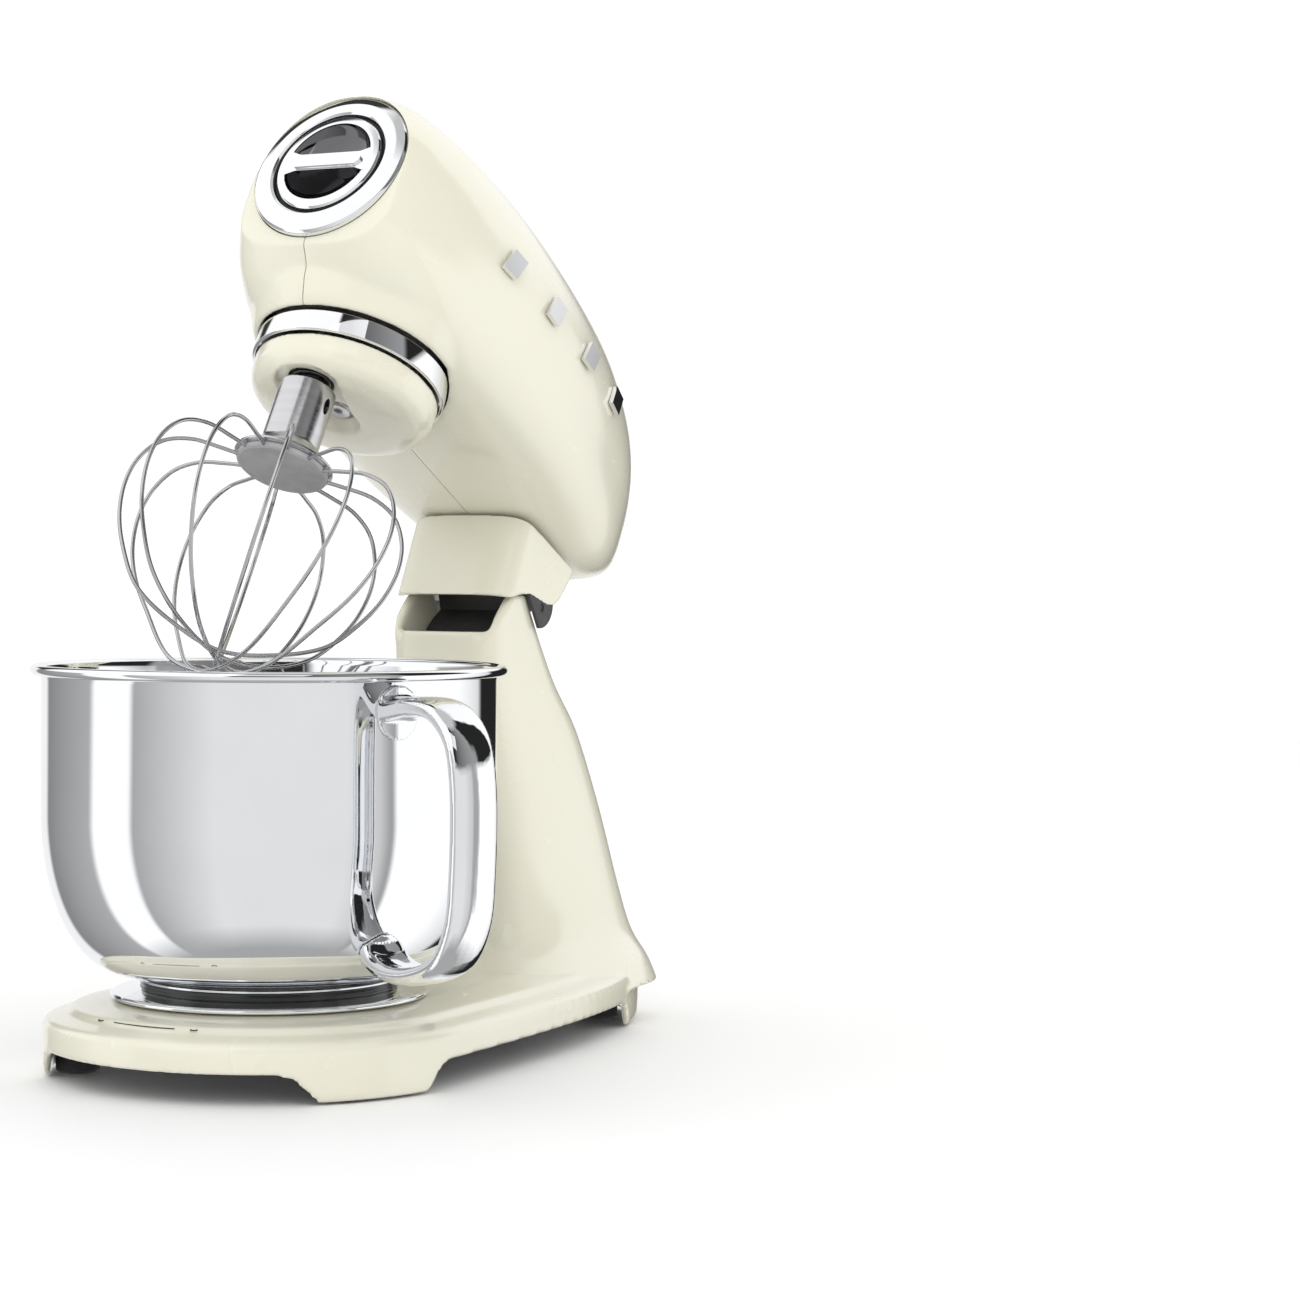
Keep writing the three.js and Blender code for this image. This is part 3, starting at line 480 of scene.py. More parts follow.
def brushed_steel(name, color, rough, turn=0.0, lines=0.12):
    """Steel with fine lines round an axis that is tilted about X."""
    material, tree, shader = surface(name, "satin_steel", metallic=1.0)
    across = spots(tree, 1, 4, stretch=(30, 30, 2600), turn=turn)
    broad = spots(tree, 1, 3, stretch=(12, 12, 260), turn=turn)
    darker = tuple(0.9 * part for part in color[:3]) + (1,)
    tree.links.new(mixed(tree, ranged(tree, broad, 0, 1), darker, color), shader.inputs["Base Color"])
    tree.links.new(ranged(tree, across, rough * 0.8, rough * 1.3), shader.inputs["Roughness"])
    tree.links.new(relief(tree, across, lines, 0.00005), shader.inputs["Normal"])
    return material


def grained(name, slot, color, rough, grain, strength, metallic=0.0):
    """Moulded or cast matter with a fine grain."""
    material, tree, shader = surface(name, slot, metallic=metallic)
    lighter = tuple(min(1, 1.25 * part + 0.004) for part in color[:3]) + (1,)
    dusty = mixed(tree, ranged(tree, spots(tree, grain / 12), 0, 1), color, lighter)
    edge_wear_and_highlight = mixed(tree, edge_share(tree, 0.54, 0.66), dusty, lighter)
    tree.links.new(edge_wear_and_highlight, shader.inputs["Base Color"])
    patchy = ranged(tree, spots(tree, grain / 5), rough * 0.85, min(1, rough * 1.15))
    tree.links.new(patchy, shader.inputs["Roughness"])
    tree.links.new(relief(tree, spots(tree, grain, 2), strength, 0.0003), shader.inputs["Normal"])
    return material


cream = cream_enamel()
chrome = polished("polished_chrome", "polished_chrome", 0.02, 0.05)
bowl_mirror = polished("bowl_mirror", "satin_steel", 0.02, 0.05)
wire_steel = polished(
    "wire_steel", "satin_steel", 0.1, 0.16, (0.5, 0.5, 0.51, 1), (0.56, 0.56, 0.57, 1),
)
# Painted shade: a dark chrome for the recess of the pull cover.
recess_shade_chrome = polished(
    "recess_shade_chrome", "polished_chrome", 0.03, 0.06, (0.13, 0.13, 0.135, 1), (0.16, 0.16, 0.165, 1),
)
cad_satin = brushed_steel("cad_satin", (0.62, 0.62, 0.63, 1), 0.24)
whisk_satin = brushed_steel("whisk_satin", (0.66, 0.66, 0.67, 1), 0.2, turn=head_tilt, lines=0.08)
rubber = grained("black_rubber", "black_rubber", (0.012, 0.012, 0.012, 1), 0.75, 900, 0.35)
dark_plastic = grained("dark_plastic", "dark_plastic", (0.035, 0.035, 0.037, 1), 0.42, 1400, 0.18)
disc_plastic = grained("grey_plastic", "satin_steel", (0.36, 0.36, 0.365, 1), 0.5, 1200, 0.15)
raw_cast = grained("raw_aluminium", "raw_aluminium", (0.5, 0.5, 0.51, 1), 0.5, 700, 0.3, metallic=1.0)
gear_steel = grained("gear_steel", "gear_steel", (0.33, 0.33, 0.34, 1), 0.36, 1100, 0.12, metallic=1.0)
spring_steel = grained("spring_steel", "gear_steel", (0.10, 0.10, 0.105, 1), 0.3, 1100, 0.1, metallic=1.0)
copper = grained("copper_winding", "copper_winding", (0.55, 0.26, 0.12, 1), 0.42, 1600, 0.4, metallic=1.0)
circuit = grained("circuit_board", "circuit_board", (0.03, 0.16, 0.06, 1), 0.45, 500, 0.2)
dark_gloss = grained("dark_gloss", "black_rubber", (0.02, 0.02, 0.02, 1), 0.2, 900, 0.03)
ink = grained("print_ink", "dark_plastic", (0.05, 0.05, 0.045, 1), 0.6, 900, 0.05)

# ---------------------------------------- stand: base and column


def base_plan(inset, z, count=144):
    """Plan outline of the base: round under the bowl and squarer behind."""
    ring = []
    for angle in around(count):
        x, y = superellipse(angle, 1, 1, 2.08 if math.sin(angle) < 0 else 3.2)
        half_width = base_radius - inset - (14 * y if y > 0 else 0)
        length = base_radius if y < 0 else base_end
        ring.append((x * half_width, y * length - inset * y, z))
    return ring


def base_solid():
    edge = filleted([
        # inset, height, fillet
        (1.6, 1.0), (0.4, 4, 2), (0, 12, 4), (0.2, base_shoulder - 0.2, 4.5),
        (12, base_shoulder + 3.4, 6), (13.6, base_shoulder + 5.6, 2), (34, base_top),
    ])
    return loft([base_plan(inset, z) for inset, z in edge])


column_stations = [
    # half width, front, rear, height
    (82, 96, 266, 20),
    (74, 112, 266, 32),
    (62, 128, 265, 46),
    (53, 136, 263, 70),
    (44, 141, 255, 110),
    (36, column_front, 241, 150),
    (cheek_outer, column_front, 219, 178),
    (cheek_outer, column_front, 187, column_top),
]


def column_plan(half_width, front, rear, z, count=96):
    centre = front + (rear - front) * 0.45
    ring = []
    for angle in around(count):
        x, y = superellipse(angle, half_width, 1, 4)
        ring.append((x, centre + y * (centre - front if y < 0 else rear - centre), z))
    return ring


def column_solid(inset=0):
    rows = [(w - inset, front + inset, rear - inset, z) for w, front, rear, z in column_stations]
    return loft([column_plan(*row) for row in blended(rows, 6)])


def arch(start, end, top=arch_height):
    corners = [
        (start - 2, -6), (start + 3, 4, 3), (start + 9, top - 2, 7), (start + 16, top, 8),
        (end - 16, top, 8), (end - 9, top - 2, 7), (end - 3, 4, 3), (end + 2, -6),
    ]
    return filleted(corners)


def arm_slot():
    """The slot the hinge arm swings in, open in front above a stepped lip and behind above the pin."""
    front = column_front
    lip = pocket_lip
    side_view = filleted([
        (front + 9.5, 134), (hinge.y + 20, 134), (hinge.y + 60, 150), (hinge.y + 60, 260),
        (front - 20, 260), (front - 20, lip + 13), (front + 2, lip + 13, 4), (front + 5, lip + 8, 2),
        (front + 2, lip + 5, 2), (front - 1, lip, 2), (front - 20, lip), (front - 21, lip - 0.1),
        (front + 9.5, lip - 0.1),
    ])
    return slab(side_view, "X", -cheek_inner, cheek_inner)


def on_hinge(radius, half, segments=64):
    """A rod along the hinge's axis."""
    return rod(radius, -half, half, "X", (hinge.y, hinge.z), segments)


def neck_sweep():
    """What the neck's front wall passes through as the head swings."""
    region = block(-60, 60, 90, hinge.y, pocket_lip - 14, 260)
    corners = on_hinge(83.2, 70, 160)
    middle = on_hinge(88.4, 22, 160)
    return carve(region, corners, middle)


def stand_shell():
    solid = fuse(base_solid(), column_solid())
    hollow = loft([base_plan(4, -1), base_plan(4, base_shoulder - 6), base_plan(24, base_top - 11)])
    column_hollow = overlap_of(column_solid(4), block(-90, 90, 90, 300, 18, 128))
    front_arch = slab(arch(-77, 77), "Y", -150, 60)
    rear_arch = slab(arch(-33, 33), "Y", 59, 300)
    side_arches = slab(arch(-20, 206), "X", -200, 200)
    bowl_well = rod(well_radius, base_top - 6, base_top + 20)
    pin_bore = on_hinge(5.3, pin_reach + 0.4)
    button_bore = rod(9.4, 240, 300, "Y", (0, button_height))
    gland_bore = rod(5.6, 240, 300, "Y", (gland_side, gland_height))
    carve(
        solid, hollow, column_hollow, front_arch, rear_arch, side_arches,
        bowl_well, arm_slot(), neck_sweep(), pin_bore, button_bore, gland_bore,
    )
    return softened(solid, voxel=1.3, passes=9)


finished(stand_shell(), "stand_body", "stand", cream, stands_for=["stand_casting"])


def lock_marks():
    """Printed hints for the bowl's twist: an arc between two small rings, on the base's top."""
    reach = 91
    height = base_shoulder + 4.6
    ring_size = 1.5

    def on_base(bearing):
        a = math.radians(bearing)
        return Vector((reach * math.sin(a), -reach * math.cos(a), height))

    made = [tube([on_base(-14 + i) for i in range(23)], 0.28, 6)]
    for bearing in (-20, 14):
        centre = on_base(bearing)
        circle = [centre + ring_size * Vector((math.cos(a), math.sin(a), 0)) for a in around(24)]
        made.append(tube(circle, 0.3, 6, closed_path=True))
    return fuse_loose(made)


finished(lock_marks(), "lock_marks", "stand", ink)


def foot_pad(height):
    return lathe(filleted([
        (0, 0), (8.6, 0, 0.8), (10.2, 1.4, 0.8), (10.2, height - 1.6, 1), (9.4, height, 0.6), (0, height),
    ]), 96)


for corner in ("front_left", "front_right", "rear_left", "rear_right"):
    node = f"foot_{corner}"
    spot = stand_space.inverted() @ middle_of(node)
    place = stand_space @ Matrix.Translation((spot.x, spot.y, 0))
    pad = foot_pad(arch_height + 0.8)
    finished(pad, f"rubber_foot_{corner}", "stand", rubber, place, [node], sharp_angle=40)


def hinge_axle():
    end = pin_reach
    pin = lathe(filleted([
        (0, -end), (4.6, -end, 0.6), (5, 0.8 - end, 0.6), (5, end - 0.8, 0.6), (4.6, end, 0.6), (0, end),
    ]), 64)
    pin.data.transform(Matrix.Translation(hinge) @ Matrix.Rotation(math.pi / 2, 4, "Y"))
    return pin


finished(hinge_axle(), "hinge_axle", "stand", gear_steel, stands_for=["hinge_pin"], sharp_angle=40)


def along_y(made, x, z):
    made.data.transform(Matrix.Translation((x, 0, z)) @ Matrix.Rotation(-math.pi / 2, 4, "X"))
    return made


def gland_sleeve():
    end = base_end
    return along_y(lathe(filleted([
        (3.6, 246), (5.2, 246, 0.3), (5.2, end + 0.35, 0.3), (8.5, end + 0.35, 0.6),
        (8.5, end + 3, 1), (6.2, end + 5, 2), (5.5, end + 6.8, 0.8), (3.8, end + 6.9, 0.6),
        (3.6, 246),
    ]), 72), gland_side, gland_height)


finished(gland_sleeve(), "cord_sleeve", "stand", dark_plastic, stands_for=["cord_gland"], sharp_angle=40)


def release_cap():
    return along_y(lathe(filleted([
        (0, 212), (2.2, 212, 0.4), (2.2, 245.4), (4.6, 245.4), (4.6, 234), (9, 234, 0.4),
        (9, 258, 1.6), (8, 260.4, 1.6), (5, 261.2, 3), (0, 261.4),
    ]), 96), 0, button_height)


finished(release_cap(), "release_cap", "button", chrome, stands_for=["release_button"], sharp_angle=40)

# ---------------------------------------- bowl


wall_foot = bowl_floor + 2.4
wall_rise = 74
wall_fullness = 0.92


def bowl_curve(share):
    """The outside wall, from the floor's edge up to where it is straight."""
    a = share * math.pi / 2
    radius = bowl_edge + (bowl_radius - bowl_edge) * math.sin(a) ** wall_fullness
    return radius, wall_foot + wall_rise * (1 - math.cos(a))


def wall_radius_at(z):
    share = min(1.0, max(0.0, (z - wall_foot) / wall_rise))
    a = math.acos(1 - share)
    return bowl_edge + (bowl_radius - bowl_edge) * math.sin(a) ** wall_fullness


def bowl_wall():
    steps = 48
    outer = [bowl_curve(i / steps) for i in range(steps + 1)]
    inner = [(r - bowl_steel, z + bowl_steel * (1 - i / steps)) for i, (r, z) in enumerate(outer)]
    bead = 2.45
    curl = []
    for i in range(25):
        a = math.radians(-150 + i * 12.5)
        curl.append((rim_radius + bead * (math.cos(a) - 1), rim_height + bead * (math.sin(a) - 1)))
    inside = bowl_radius - bowl_steel
    floor_top = bowl_floor + bowl_steel
    return lathe([
        (0, bowl_floor), (60, bowl_floor), (63.6, bowl_floor + 0.6), *outer,
        (bowl_radius, rim_height - 7), (bowl_radius + 0.3, rim_height - 5.4), *curl,
        (inside + 0.8, rim_height - 1.6), (inside, rim_height - 4), *reversed(inner),
        (60, floor_top), (0, floor_top),
    ], 288)


finished(bowl_wall(), "bowl_wall", "bowl", bowl_mirror, stands_for=["bowl_shell"], sharp_angle=50)


def bowl_stand():
    """The polished foot, with a waist between the bowl's edge and the flared ring."""
    top = bowl_floor - 0.35
    inside = 49.4
    low = base_top - 5.2
    return lathe(filleted([
        (46, top), (60.4, top, 0.5), (60.8, 44, 0.6), (58.4, 43, 1), (58.2, 41.4, 1.6),
        (60, 39.9, 1.2), (66, 39.1, 3), (72.4, 38.6, 1.2), (73.9, 37.7, 0.8), (73.9, 36.6, 0.6),
        (73, 36.2, 0.4), (inside, 36.2, 0.3), (inside, low, 0.3), (46, low, 0.3), (46, top),
    ]), 256)


def collar_shade_band():
    """A dark band in the foot's waist: painted shade in the waist's recess."""
    return lathe(filleted([
        (58, 40.3), (60.3, 40.3, 0.5), (59.7, 41.6, 1), (60.3, 43.6, 0.5), (58, 43.6), (58, 40.3),
    ]), 192)


finished(collar_shade_band(), "collar_shade_band", "bowl", dark_gloss, sharp_angle=50)
finished(bowl_stand(), "bowl_stand", "bowl", chrome, stands_for=["bowl_foot_ring"], sharp_angle=50)


def handle_section(share):
    """Half width, thickness and hollow of the strap, from its top plate (0) to its bottom plate (1)."""
    near_end = min(share, 1 - share)
    flare = max(0.0, 1 - near_end / 0.06) ** 1.5
    return 11.4 - 0.6 * flare, 4.1 + 1.8 * flare, 2.0 * (1 - flare)


def handle_strap():
    path = smooth_path([(r, 0, z) for r, z in [
        (105, 172.5), (113, 173.2), (127, 175), (145, 172.8), (158.2, 162), (163, 145), (163, 104),
        (159.6, 82), (149, 66.5), (128, 58.5), (110, 57.6), (99.4, 60.6), (91.4, 66.6),
    ]], 8)
    rings = []
    for i, centre in enumerate(path):
        before, after = path[max(i - 1, 0)], path[min(i + 1, len(path) - 1)]
        along = (after - before).normalized()
        out = Vector((along.z, 0, -along.x))
        half_width, half_thick, hollow = handle_section(i / (len(path) - 1))
        ring = []
        for angle in around(40):
            side, depth = superellipse(angle, half_width, half_thick, 3.2)
            inner_face = max(0.0, -depth / half_thick)
            dish = hollow * inner_face * max(0.0, 1 - (side / half_width / 0.72) ** 2)
            crown = 0.9 * max(0.0, depth / half_thick) * (1 - (side / half_width) ** 2)
            ring.append(centre + Vector((0, side, 0)) - out * (depth + dish + crown))
        rings.append(ring)
    return loft(rings)


def handle_plate(low, high):
    """A rounded tab that hugs the bowl's wall where the strap ends."""
    half_width = 10.6
    rows = []
    for z in [low + (high - low) * i / 24 for i in range(25)]:
        from_end = min(z - low, high - z)
        width = half_width * math.sqrt(max(0.04, 1 - max(0, 1 - from_end / half_width) ** 2))
        radius = wall_radius_at(z)
        row = []
        for way, out in ((1, radius + 1.3), (-1, radius + 0.25)):
            for i in range(13):
                a = way * (-width + 2 * width * i / 12) / radius
                row.append((out * math.cos(a), out * math.sin(a), z))
        rows.append(row)
    return loft(rows)


def bowl_envelope():
    steps = 24
    wall = [bowl_curve(i / steps) for i in range(steps + 1)]
    grown = [(r + 0.3, z - 0.3) for r, z in wall]
    return lathe([(0, bowl_floor - 0.3), *grown, (bowl_radius + 0.3, rim_height), (0, rim_height)], 192)


def bowl_grip():
    strap = fuse(handle_strap(), handle_plate(159, 184), handle_plate(56, 73))
    turn = Matrix.Rotation(math.radians(handle_bearing - 90), 4, "Z")
    strap.data.transform(turn)
    return softened(carve(strap, bowl_envelope()), voxel=0.7, passes=5)


finished(bowl_grip(), "bowl_grip", "bowl", chrome, stands_for=["bowl_handle"])

# ---------------------------------------- head shells

head_stations = [
    # y, top, bottom, half width
    (-64, 348, 262, 43),
    (-45, 357, 246, 51.5),
    (-10, 361.5, 234, 60.5),
    (40, 361.5, 228, 66.5),
    (100, 356, 226.8, 66.5),
    (150, 349, 226.8, 59.5),
    (195, 332, 229, 47),
    (232, 295, 248, 25),
    (248, 274, 262, 6),
]
belt_level = 0.4


def head_section(top, bottom, half_width, angle):
    belt = bottom + (top - bottom) * belt_level
    upper = math.sin(angle) > 0
    x, z = superellipse(angle, half_width, top - belt if upper else belt - bottom, 2.2 if upper else 3.5)
    return x, belt + z


def head_solid(inset=0.0):
    rows = []
    last = len(head_stations) - 1
    for i, (y, top, bottom, width) in enumerate(head_stations):
        end = inset if i == 0 else -inset * (i / last) ** 4
        rows.append((y + end, top - inset, bottom + inset, max(width - inset, 2)))
    rings = []
    for y, top, bottom, width in blended(rows, 7):
        ring = []
        for angle in around(128):
            x, z = head_section(top, bottom, width, angle)
            ring.append((x, y, z))
        rings.append(ring)
    return loft(rings)


def boss_solid():
    return lathe(filleted([
        (0, ring_top + 0.4), (50, ring_top + 0.4, 0.8), (52.4, 241, 3), (56, 250, 6), (57, 264), (0, 264),
    ]), 160)


def rear_vents():
    return [block(-60, 60, 218 + 7 * i, 220.8 + 7 * i, 262, 285) for i in range(3)]


def whole_head():
    """Remeshed for its soft creases first; the crisp openings are cut afterwards."""
    cap_seat = rod(41.6, -8.6, 30, segments=160)
    cap_seat.data.transform(head_space.inverted() @ cap_space)
    inside = fuse(head_solid(3), rod(47.6, ring_top - 1, 262, segments=128))
    drive_opening = rod(47.7, 200, 240, segments=160)
    whole = softened(carve(fuse(head_solid(), boss_solid()), inside, drive_opening), voxel=1.3, passes=12)
    ring_seat = rod(48.4, 200, ring_top + 0.3, segments=160)
    arm_opening = block(-26.6, 26.6, 149, 188, 200, 240)
    lever_slot = block(-3, 3, 52, 112, 330, 380)
    return carve(whole, ring_seat, arm_opening, cap_seat, lever_slot, *rear_vents())


def seam_rounded(made, reach=1.4, depth=0.35):
    """Turns the shell in slightly along the middle seam."""
    for vertex in made.data.vertices:
        near = 1 - abs(vertex.co.x) / reach
        if near > 0:
            vertex.co -= vertex.normal * depth * near * near
    return made


def half_of(made, side):
    """The part of a closed solid on one side of the middle seam, closed again."""
    mesh = bmesh.new()
    mesh.from_mesh(made.data)
    everything = mesh.verts[:] + mesh.edges[:] + mesh.faces[:]
    normal = (-side, 0, 0)
    cut_edge = bmesh.ops.bisect_plane(
        mesh, geom=everything, plane_co=(0.3 * side, 0, 0), plane_no=normal, clear_outer=True,
    )["geom_cut"]
    rim = [item for item in cut_edge if isinstance(item, bmesh.types.BMEdge)]
    bmesh.ops.triangle_fill(mesh, use_beauty=True, use_dissolve=False, edges=rim)
    half = new_object("half", [], [])
    mesh.to_mesh(half.data)
    mesh.free()
    return half


head_whole = seam_rounded(whole_head())
for side_name, side in (("right", 1), ("left", -1)):
    finished(half_of(head_whole, side), f"head_half_{side_name}", "head", cream, head_space,
             [f"head_shell_{side_name}"], sharp_angle=50)
bpy.data.objects.remove(head_whole)


def vent_shade_sheet():
    """A dark sheet just behind the slots in the head's rear: painted shade, so that the slots read dark."""
    return overlap_of(head_solid(3.8), block(-60, 60, 214, 241, 258, 289))


finished(vent_shade_sheet(), "vent_shade_sheet", "head", dark_plastic, head_space, sharp_angle=50)

# ---------------------------------------- neck and hinge arm


neck_rear = 182


def neck_plan(grow, front_shift=0.0):
    side = neck_half_width + grow
    front = neck_front - grow + front_shift
    points = [(side, neck_rear), (-side, neck_rear)]
    for i in range(41):
        x, y = superellipse(math.pi + i / 40 * math.pi, side, 20, 4)
        points.append((x, front + 20 + y))
    return points


def raked(made):
    """Leans the neck's front wall back towards its foot."""
    for vertex in made.data.vertices:
        forward = max(0.0, (neck_rear - vertex.co.y) / (neck_rear - neck_front))
        vertex.co.y += (neck_top - vertex.co.z) * neck_rake * forward
    return made


def neck_sleeve():
    outside = raked(slab(neck_plan(0), "Z", 170, neck_top))
    inside = raked(slab(neck_plan(-neck_wall, neck_wall / 2), "Z", 160, neck_top + 10))
    opening = block(-neck_half_width + neck_wall, neck_half_width - neck_wall, 165, 200, 160, 240)
    side_view = filleted([
        (110, 181), (128, 180.5, 6), (136, 183, 6), (143, 188.5, 6), (150, 193, 6), (158, 194.6, 6),
        (168, 196.5, 4), (174.5, 200, 3), (178, 206, 4), (182.5, 222, 4), (182.5, 240), (110, 240),
    ])
    sleeve = overlap_of(carve(outside, inside, opening), slab(side_view, "X", -60, 60))
    return softened(sleeve, voxel=0.8, passes=8)


finished(neck_sleeve(), "neck_sleeve", "head", cream, head_space, ["neck_collar"])


def swing_arm():
    """The dark barrel in the column's pocket, which turns on the pin and reaches up into the head."""
    half = cheek_inner - 0.8
    sector = [(hinge.y, hinge.z)]
    for i in range(31):
        a = math.radians(148 + 22 * i / 30)
        sector.append((hinge.y + arm_reach * math.cos(a), hinge.z + arm_reach * math.sin(a)))
    web = [(166, 188), (176, 204), (183, 240), (150, 240), (150, 207), (158, 196)]
    arm = fuse(slab(sector, "X", -half, half), on_hinge(10.6, half, 96), slab(web, "X", -half, half))
    return bevelled(carve(arm, on_hinge(8.2, 60)), 0.8)


def neck_discs():
    """Dark discs on both sides of the neck's rear corner, each with a screw recess."""
    middle = (162, 194)
    screw = (164, 193)
    made = []
    for side in (1, -1):
        near, far = sorted((side * 33.05, side * 34.9))
        disc = rod(12.6, near, far, "X", middle, 96)
        below_cheek = slab([(140, 197.9), (175, 178.2), (175, 160), (140, 160)], "X", -60, 60)
        recess = rod(2.1, *sorted((side * 34, side * 40)), "X", screw)
        made.append(bevelled(carve(disc, below_cheek, recess), 0.3))
    return fuse_loose(made)


finished(neck_discs(), "neck_discs", "head", dark_plastic, head_space, sharp_angle=35)
finished(swing_arm(), "swing_arm", "head", dark_plastic, head_space, ["hinge_arm"], sharp_angle=35)

# ---------------------------------------- front cap


def cap_ring():
    return lathe(filleted([
        (30, -8), (40.6, -8, 0.4), (41.2, -6, 0.6), (41.2, -1.6, 1), (40.2, -0.3, 0.8), (36, 0.9, 6),
        (31.2, 1.2, 0.7), (30, 0.4, 0.5), (30, -8),
    ]), 224)


finished(cap_ring(), "cap_ring", "head", chrome, cap_space, ["cap_bezel"], sharp_angle=50)

recess_radius = 23.2
grip_half = 4.9


def pull_cover():
    """A polished ring round a dished recess, which a bar to grip divides into two half-moons."""
    body = lathe(filleted([
        (0, -7), (27, -7), (27, -4.6, 0.3), (28, -4.6, 0.3), (28, 0.4, 0.5), (27.2, 1.3, 0.5),
        (24.6, 1.9, 1), (0, 1.9),
    ]), 224)
    dish = lathe([
        (0, -5.6), (8, -5.3), (14, -4.2), (18.5, -2.6), (21.6, -0.6), (recess_radius, 1.8),
        (recess_radius, 8), (0, 8),
    ], 192)
    bar = slab(filleted([
        (0, -grip_half), (17, -grip_half, 6), (30, -grip_half - 5, 2), (30, grip_half + 5, 2),
        (17, grip_half, 6), (-17, grip_half, 6), (-30, grip_half + 5, 2), (-30, -grip_half - 5, 2),
        (-17, -grip_half, 6), (-0.01, -grip_half),
    ]), "Z", -12, 12)
    carve(body, carve(dish, bar))
    grip = slab(filleted([
        (-17, -3.6), (17, -3.6, 1.5), (20.5, 0, 3), (17, 3.6, 1.5), (-17, 3.6, 1.5), (-20.5, 0, 3),
        (-17.01, -3.6),
    ]), "Z", 1.2, 3.2)
    return bevelled(fuse(body, grip), 0.55)


def cover_with_shaded_recess():
    """The recess is darker than the ring and the bar that stand above it: painted shade, a dark chrome on the
    recess's faces.
    """
    cover = pull_cover()
    below_rim = 0.7
    in_recess = [
        face.center.xy.length < recess_radius - 0.2 and face.center.z < below_rim
        for face in cover.data.polygons
    ]
    finished(cover, "pull_cover", "cover", chrome, cap_space, ["hub_cover"], sharp_angle=35)
    cover.data.materials.append(recess_shade_chrome)
    for face, dark in zip(cover.data.polygons, in_recess):
        face.material_index = int(dark)


cover_with_shaded_recess()


def cap_gasket():
    """A black gasket in the gap round the cover."""
    return lathe(filleted([
        (28.1, -3.4), (29.8, -3.4, 0.2), (29.8, -1.4, 0.3), (28.1, -1.4, 0.3), (28.1, -3.4),
    ]), 160)


finished(cap_gasket(), "cap_gasket", "cover", rubber, cap_space, sharp_angle=40)

# ---------------------------------------- planetary drive


def drive_band():
    outer = ring_radius
    return lathe(filleted([
        (outer - 2.2, ring_bottom + 0.5), (outer - 1.5, ring_bottom, 0.4),
        (outer - 0.1, ring_bottom + 0.3, 0.6), (outer, ring_top - 0.7, 0.5),
        (outer - 0.7, ring_top, 0.4), (outer - 2.2, ring_top, 0.2), (outer - 2.2, ring_bottom + 0.5),
    ]), 256)


finished(drive_band(), "drive_band", "head", chrome, head_space, ["drive_ring"], sharp_angle=50)


def teardrop(big, small):
    """Wide round the beater shaft and narrow round the centre bolt."""
    lean = math.asin((big - small) / beater_offset)
    points = []
    for i in range(33):
        a = -lean + (math.pi + 2 * lean) * i / 32
        points.append((small * math.cos(a), small * math.sin(a)))
    for i in range(33):
        a = math.pi + lean + (math.pi - 2 * lean) * i / 32
        points.append((big * math.cos(a), -beater_offset + big * math.sin(a)))
    return points


def domed_disc():
    """The drive's cream disc, sunk in a teardrop round the beater shaft and the centre bolt."""
    dome = lathe(filleted([
        (0, 204), (22, 204.2, 30), (33, 205.4, 14), (40, 208, 10), (43.8, 211.8, 6),
        (45.4, 216.5, 5), (45.6, 224.2, 0.5), (30, 224.2), (28, 227), (0, 227),
    ]), 192)
    wide, narrow = teardrop(18.6, 12), teardrop(16, 9.6)
    sunk = loft([[(x, y, z) for x, y in plan] for plan, z in ((wide, 190), (wide, 206), (narrow, 209.4))])
    on_beater = (0, -beater_offset)
    beater_bores = [
        rod(radius, low, high, centre=on_beater)
        for radius, low, high in ((5.9, 190, 240), (11, 190, 217), (16, 224, 240))
    ]
    carve(dome, sunk, *beater_bores, rod(5.4, 190, 240), rod(8.2, 200, 213))
    return softened(dome, voxel=0.8, passes=5)


finished(domed_disc(), "domed_disc", "carrier", cream, head_space, ["planet_carrier"])


def centre_bolt():
    bolt = lathe(filleted([
        (0, 209.6), (5.8, 208.9, 0.6), (7, 210, 0.5), (7, 212.2, 0.3), (3, 212.6), (3, 214.1), (0, 214.1),
    ]), 96)
    return carve(bolt, rod(2.5, 206, 211.4, segments=6))


finished(centre_bolt(), "centre_bolt", "carrier", whisk_satin, head_space, ["carrier_bolt"], sharp_angle=30)


def spindle():
    return lathe(filleted([
        (0, 168), (5.4, 168, 0.6), (6, 168.8, 0.4), (6, 205, 0.3), (5.5, 205.4, 0.3),
        (5.5, 236.2, 0.3), (0, 236.4),
    ]), 80)


finished(spindle(), "spindle", "beater", whisk_satin, beater_space, ["beater_shaft"], sharp_angle=40)


def spring_coil():
    turns, per_turn = 5, 40
    wire = 0.85
    low, high = 200.8, 216.4
    path = []
    for i in range(turns * per_turn + 1):
        share = i / (turns * per_turn)
        a = i / per_turn * 2 * math.pi
        r = 8.1 + 1.6 * share
        rise = min(1.0, max(0.0, (share - 0.08) / 0.84))
        path.append((r * math.cos(a), r * math.sin(a), low + wire + (high - low - 2 * wire) * rise))
    return tube(path, wire, 12)


finished(spring_coil(), "spring_coil", "beater", spring_steel, beater_space, ["beater_spring"])

# ---------------------------------------- whisk


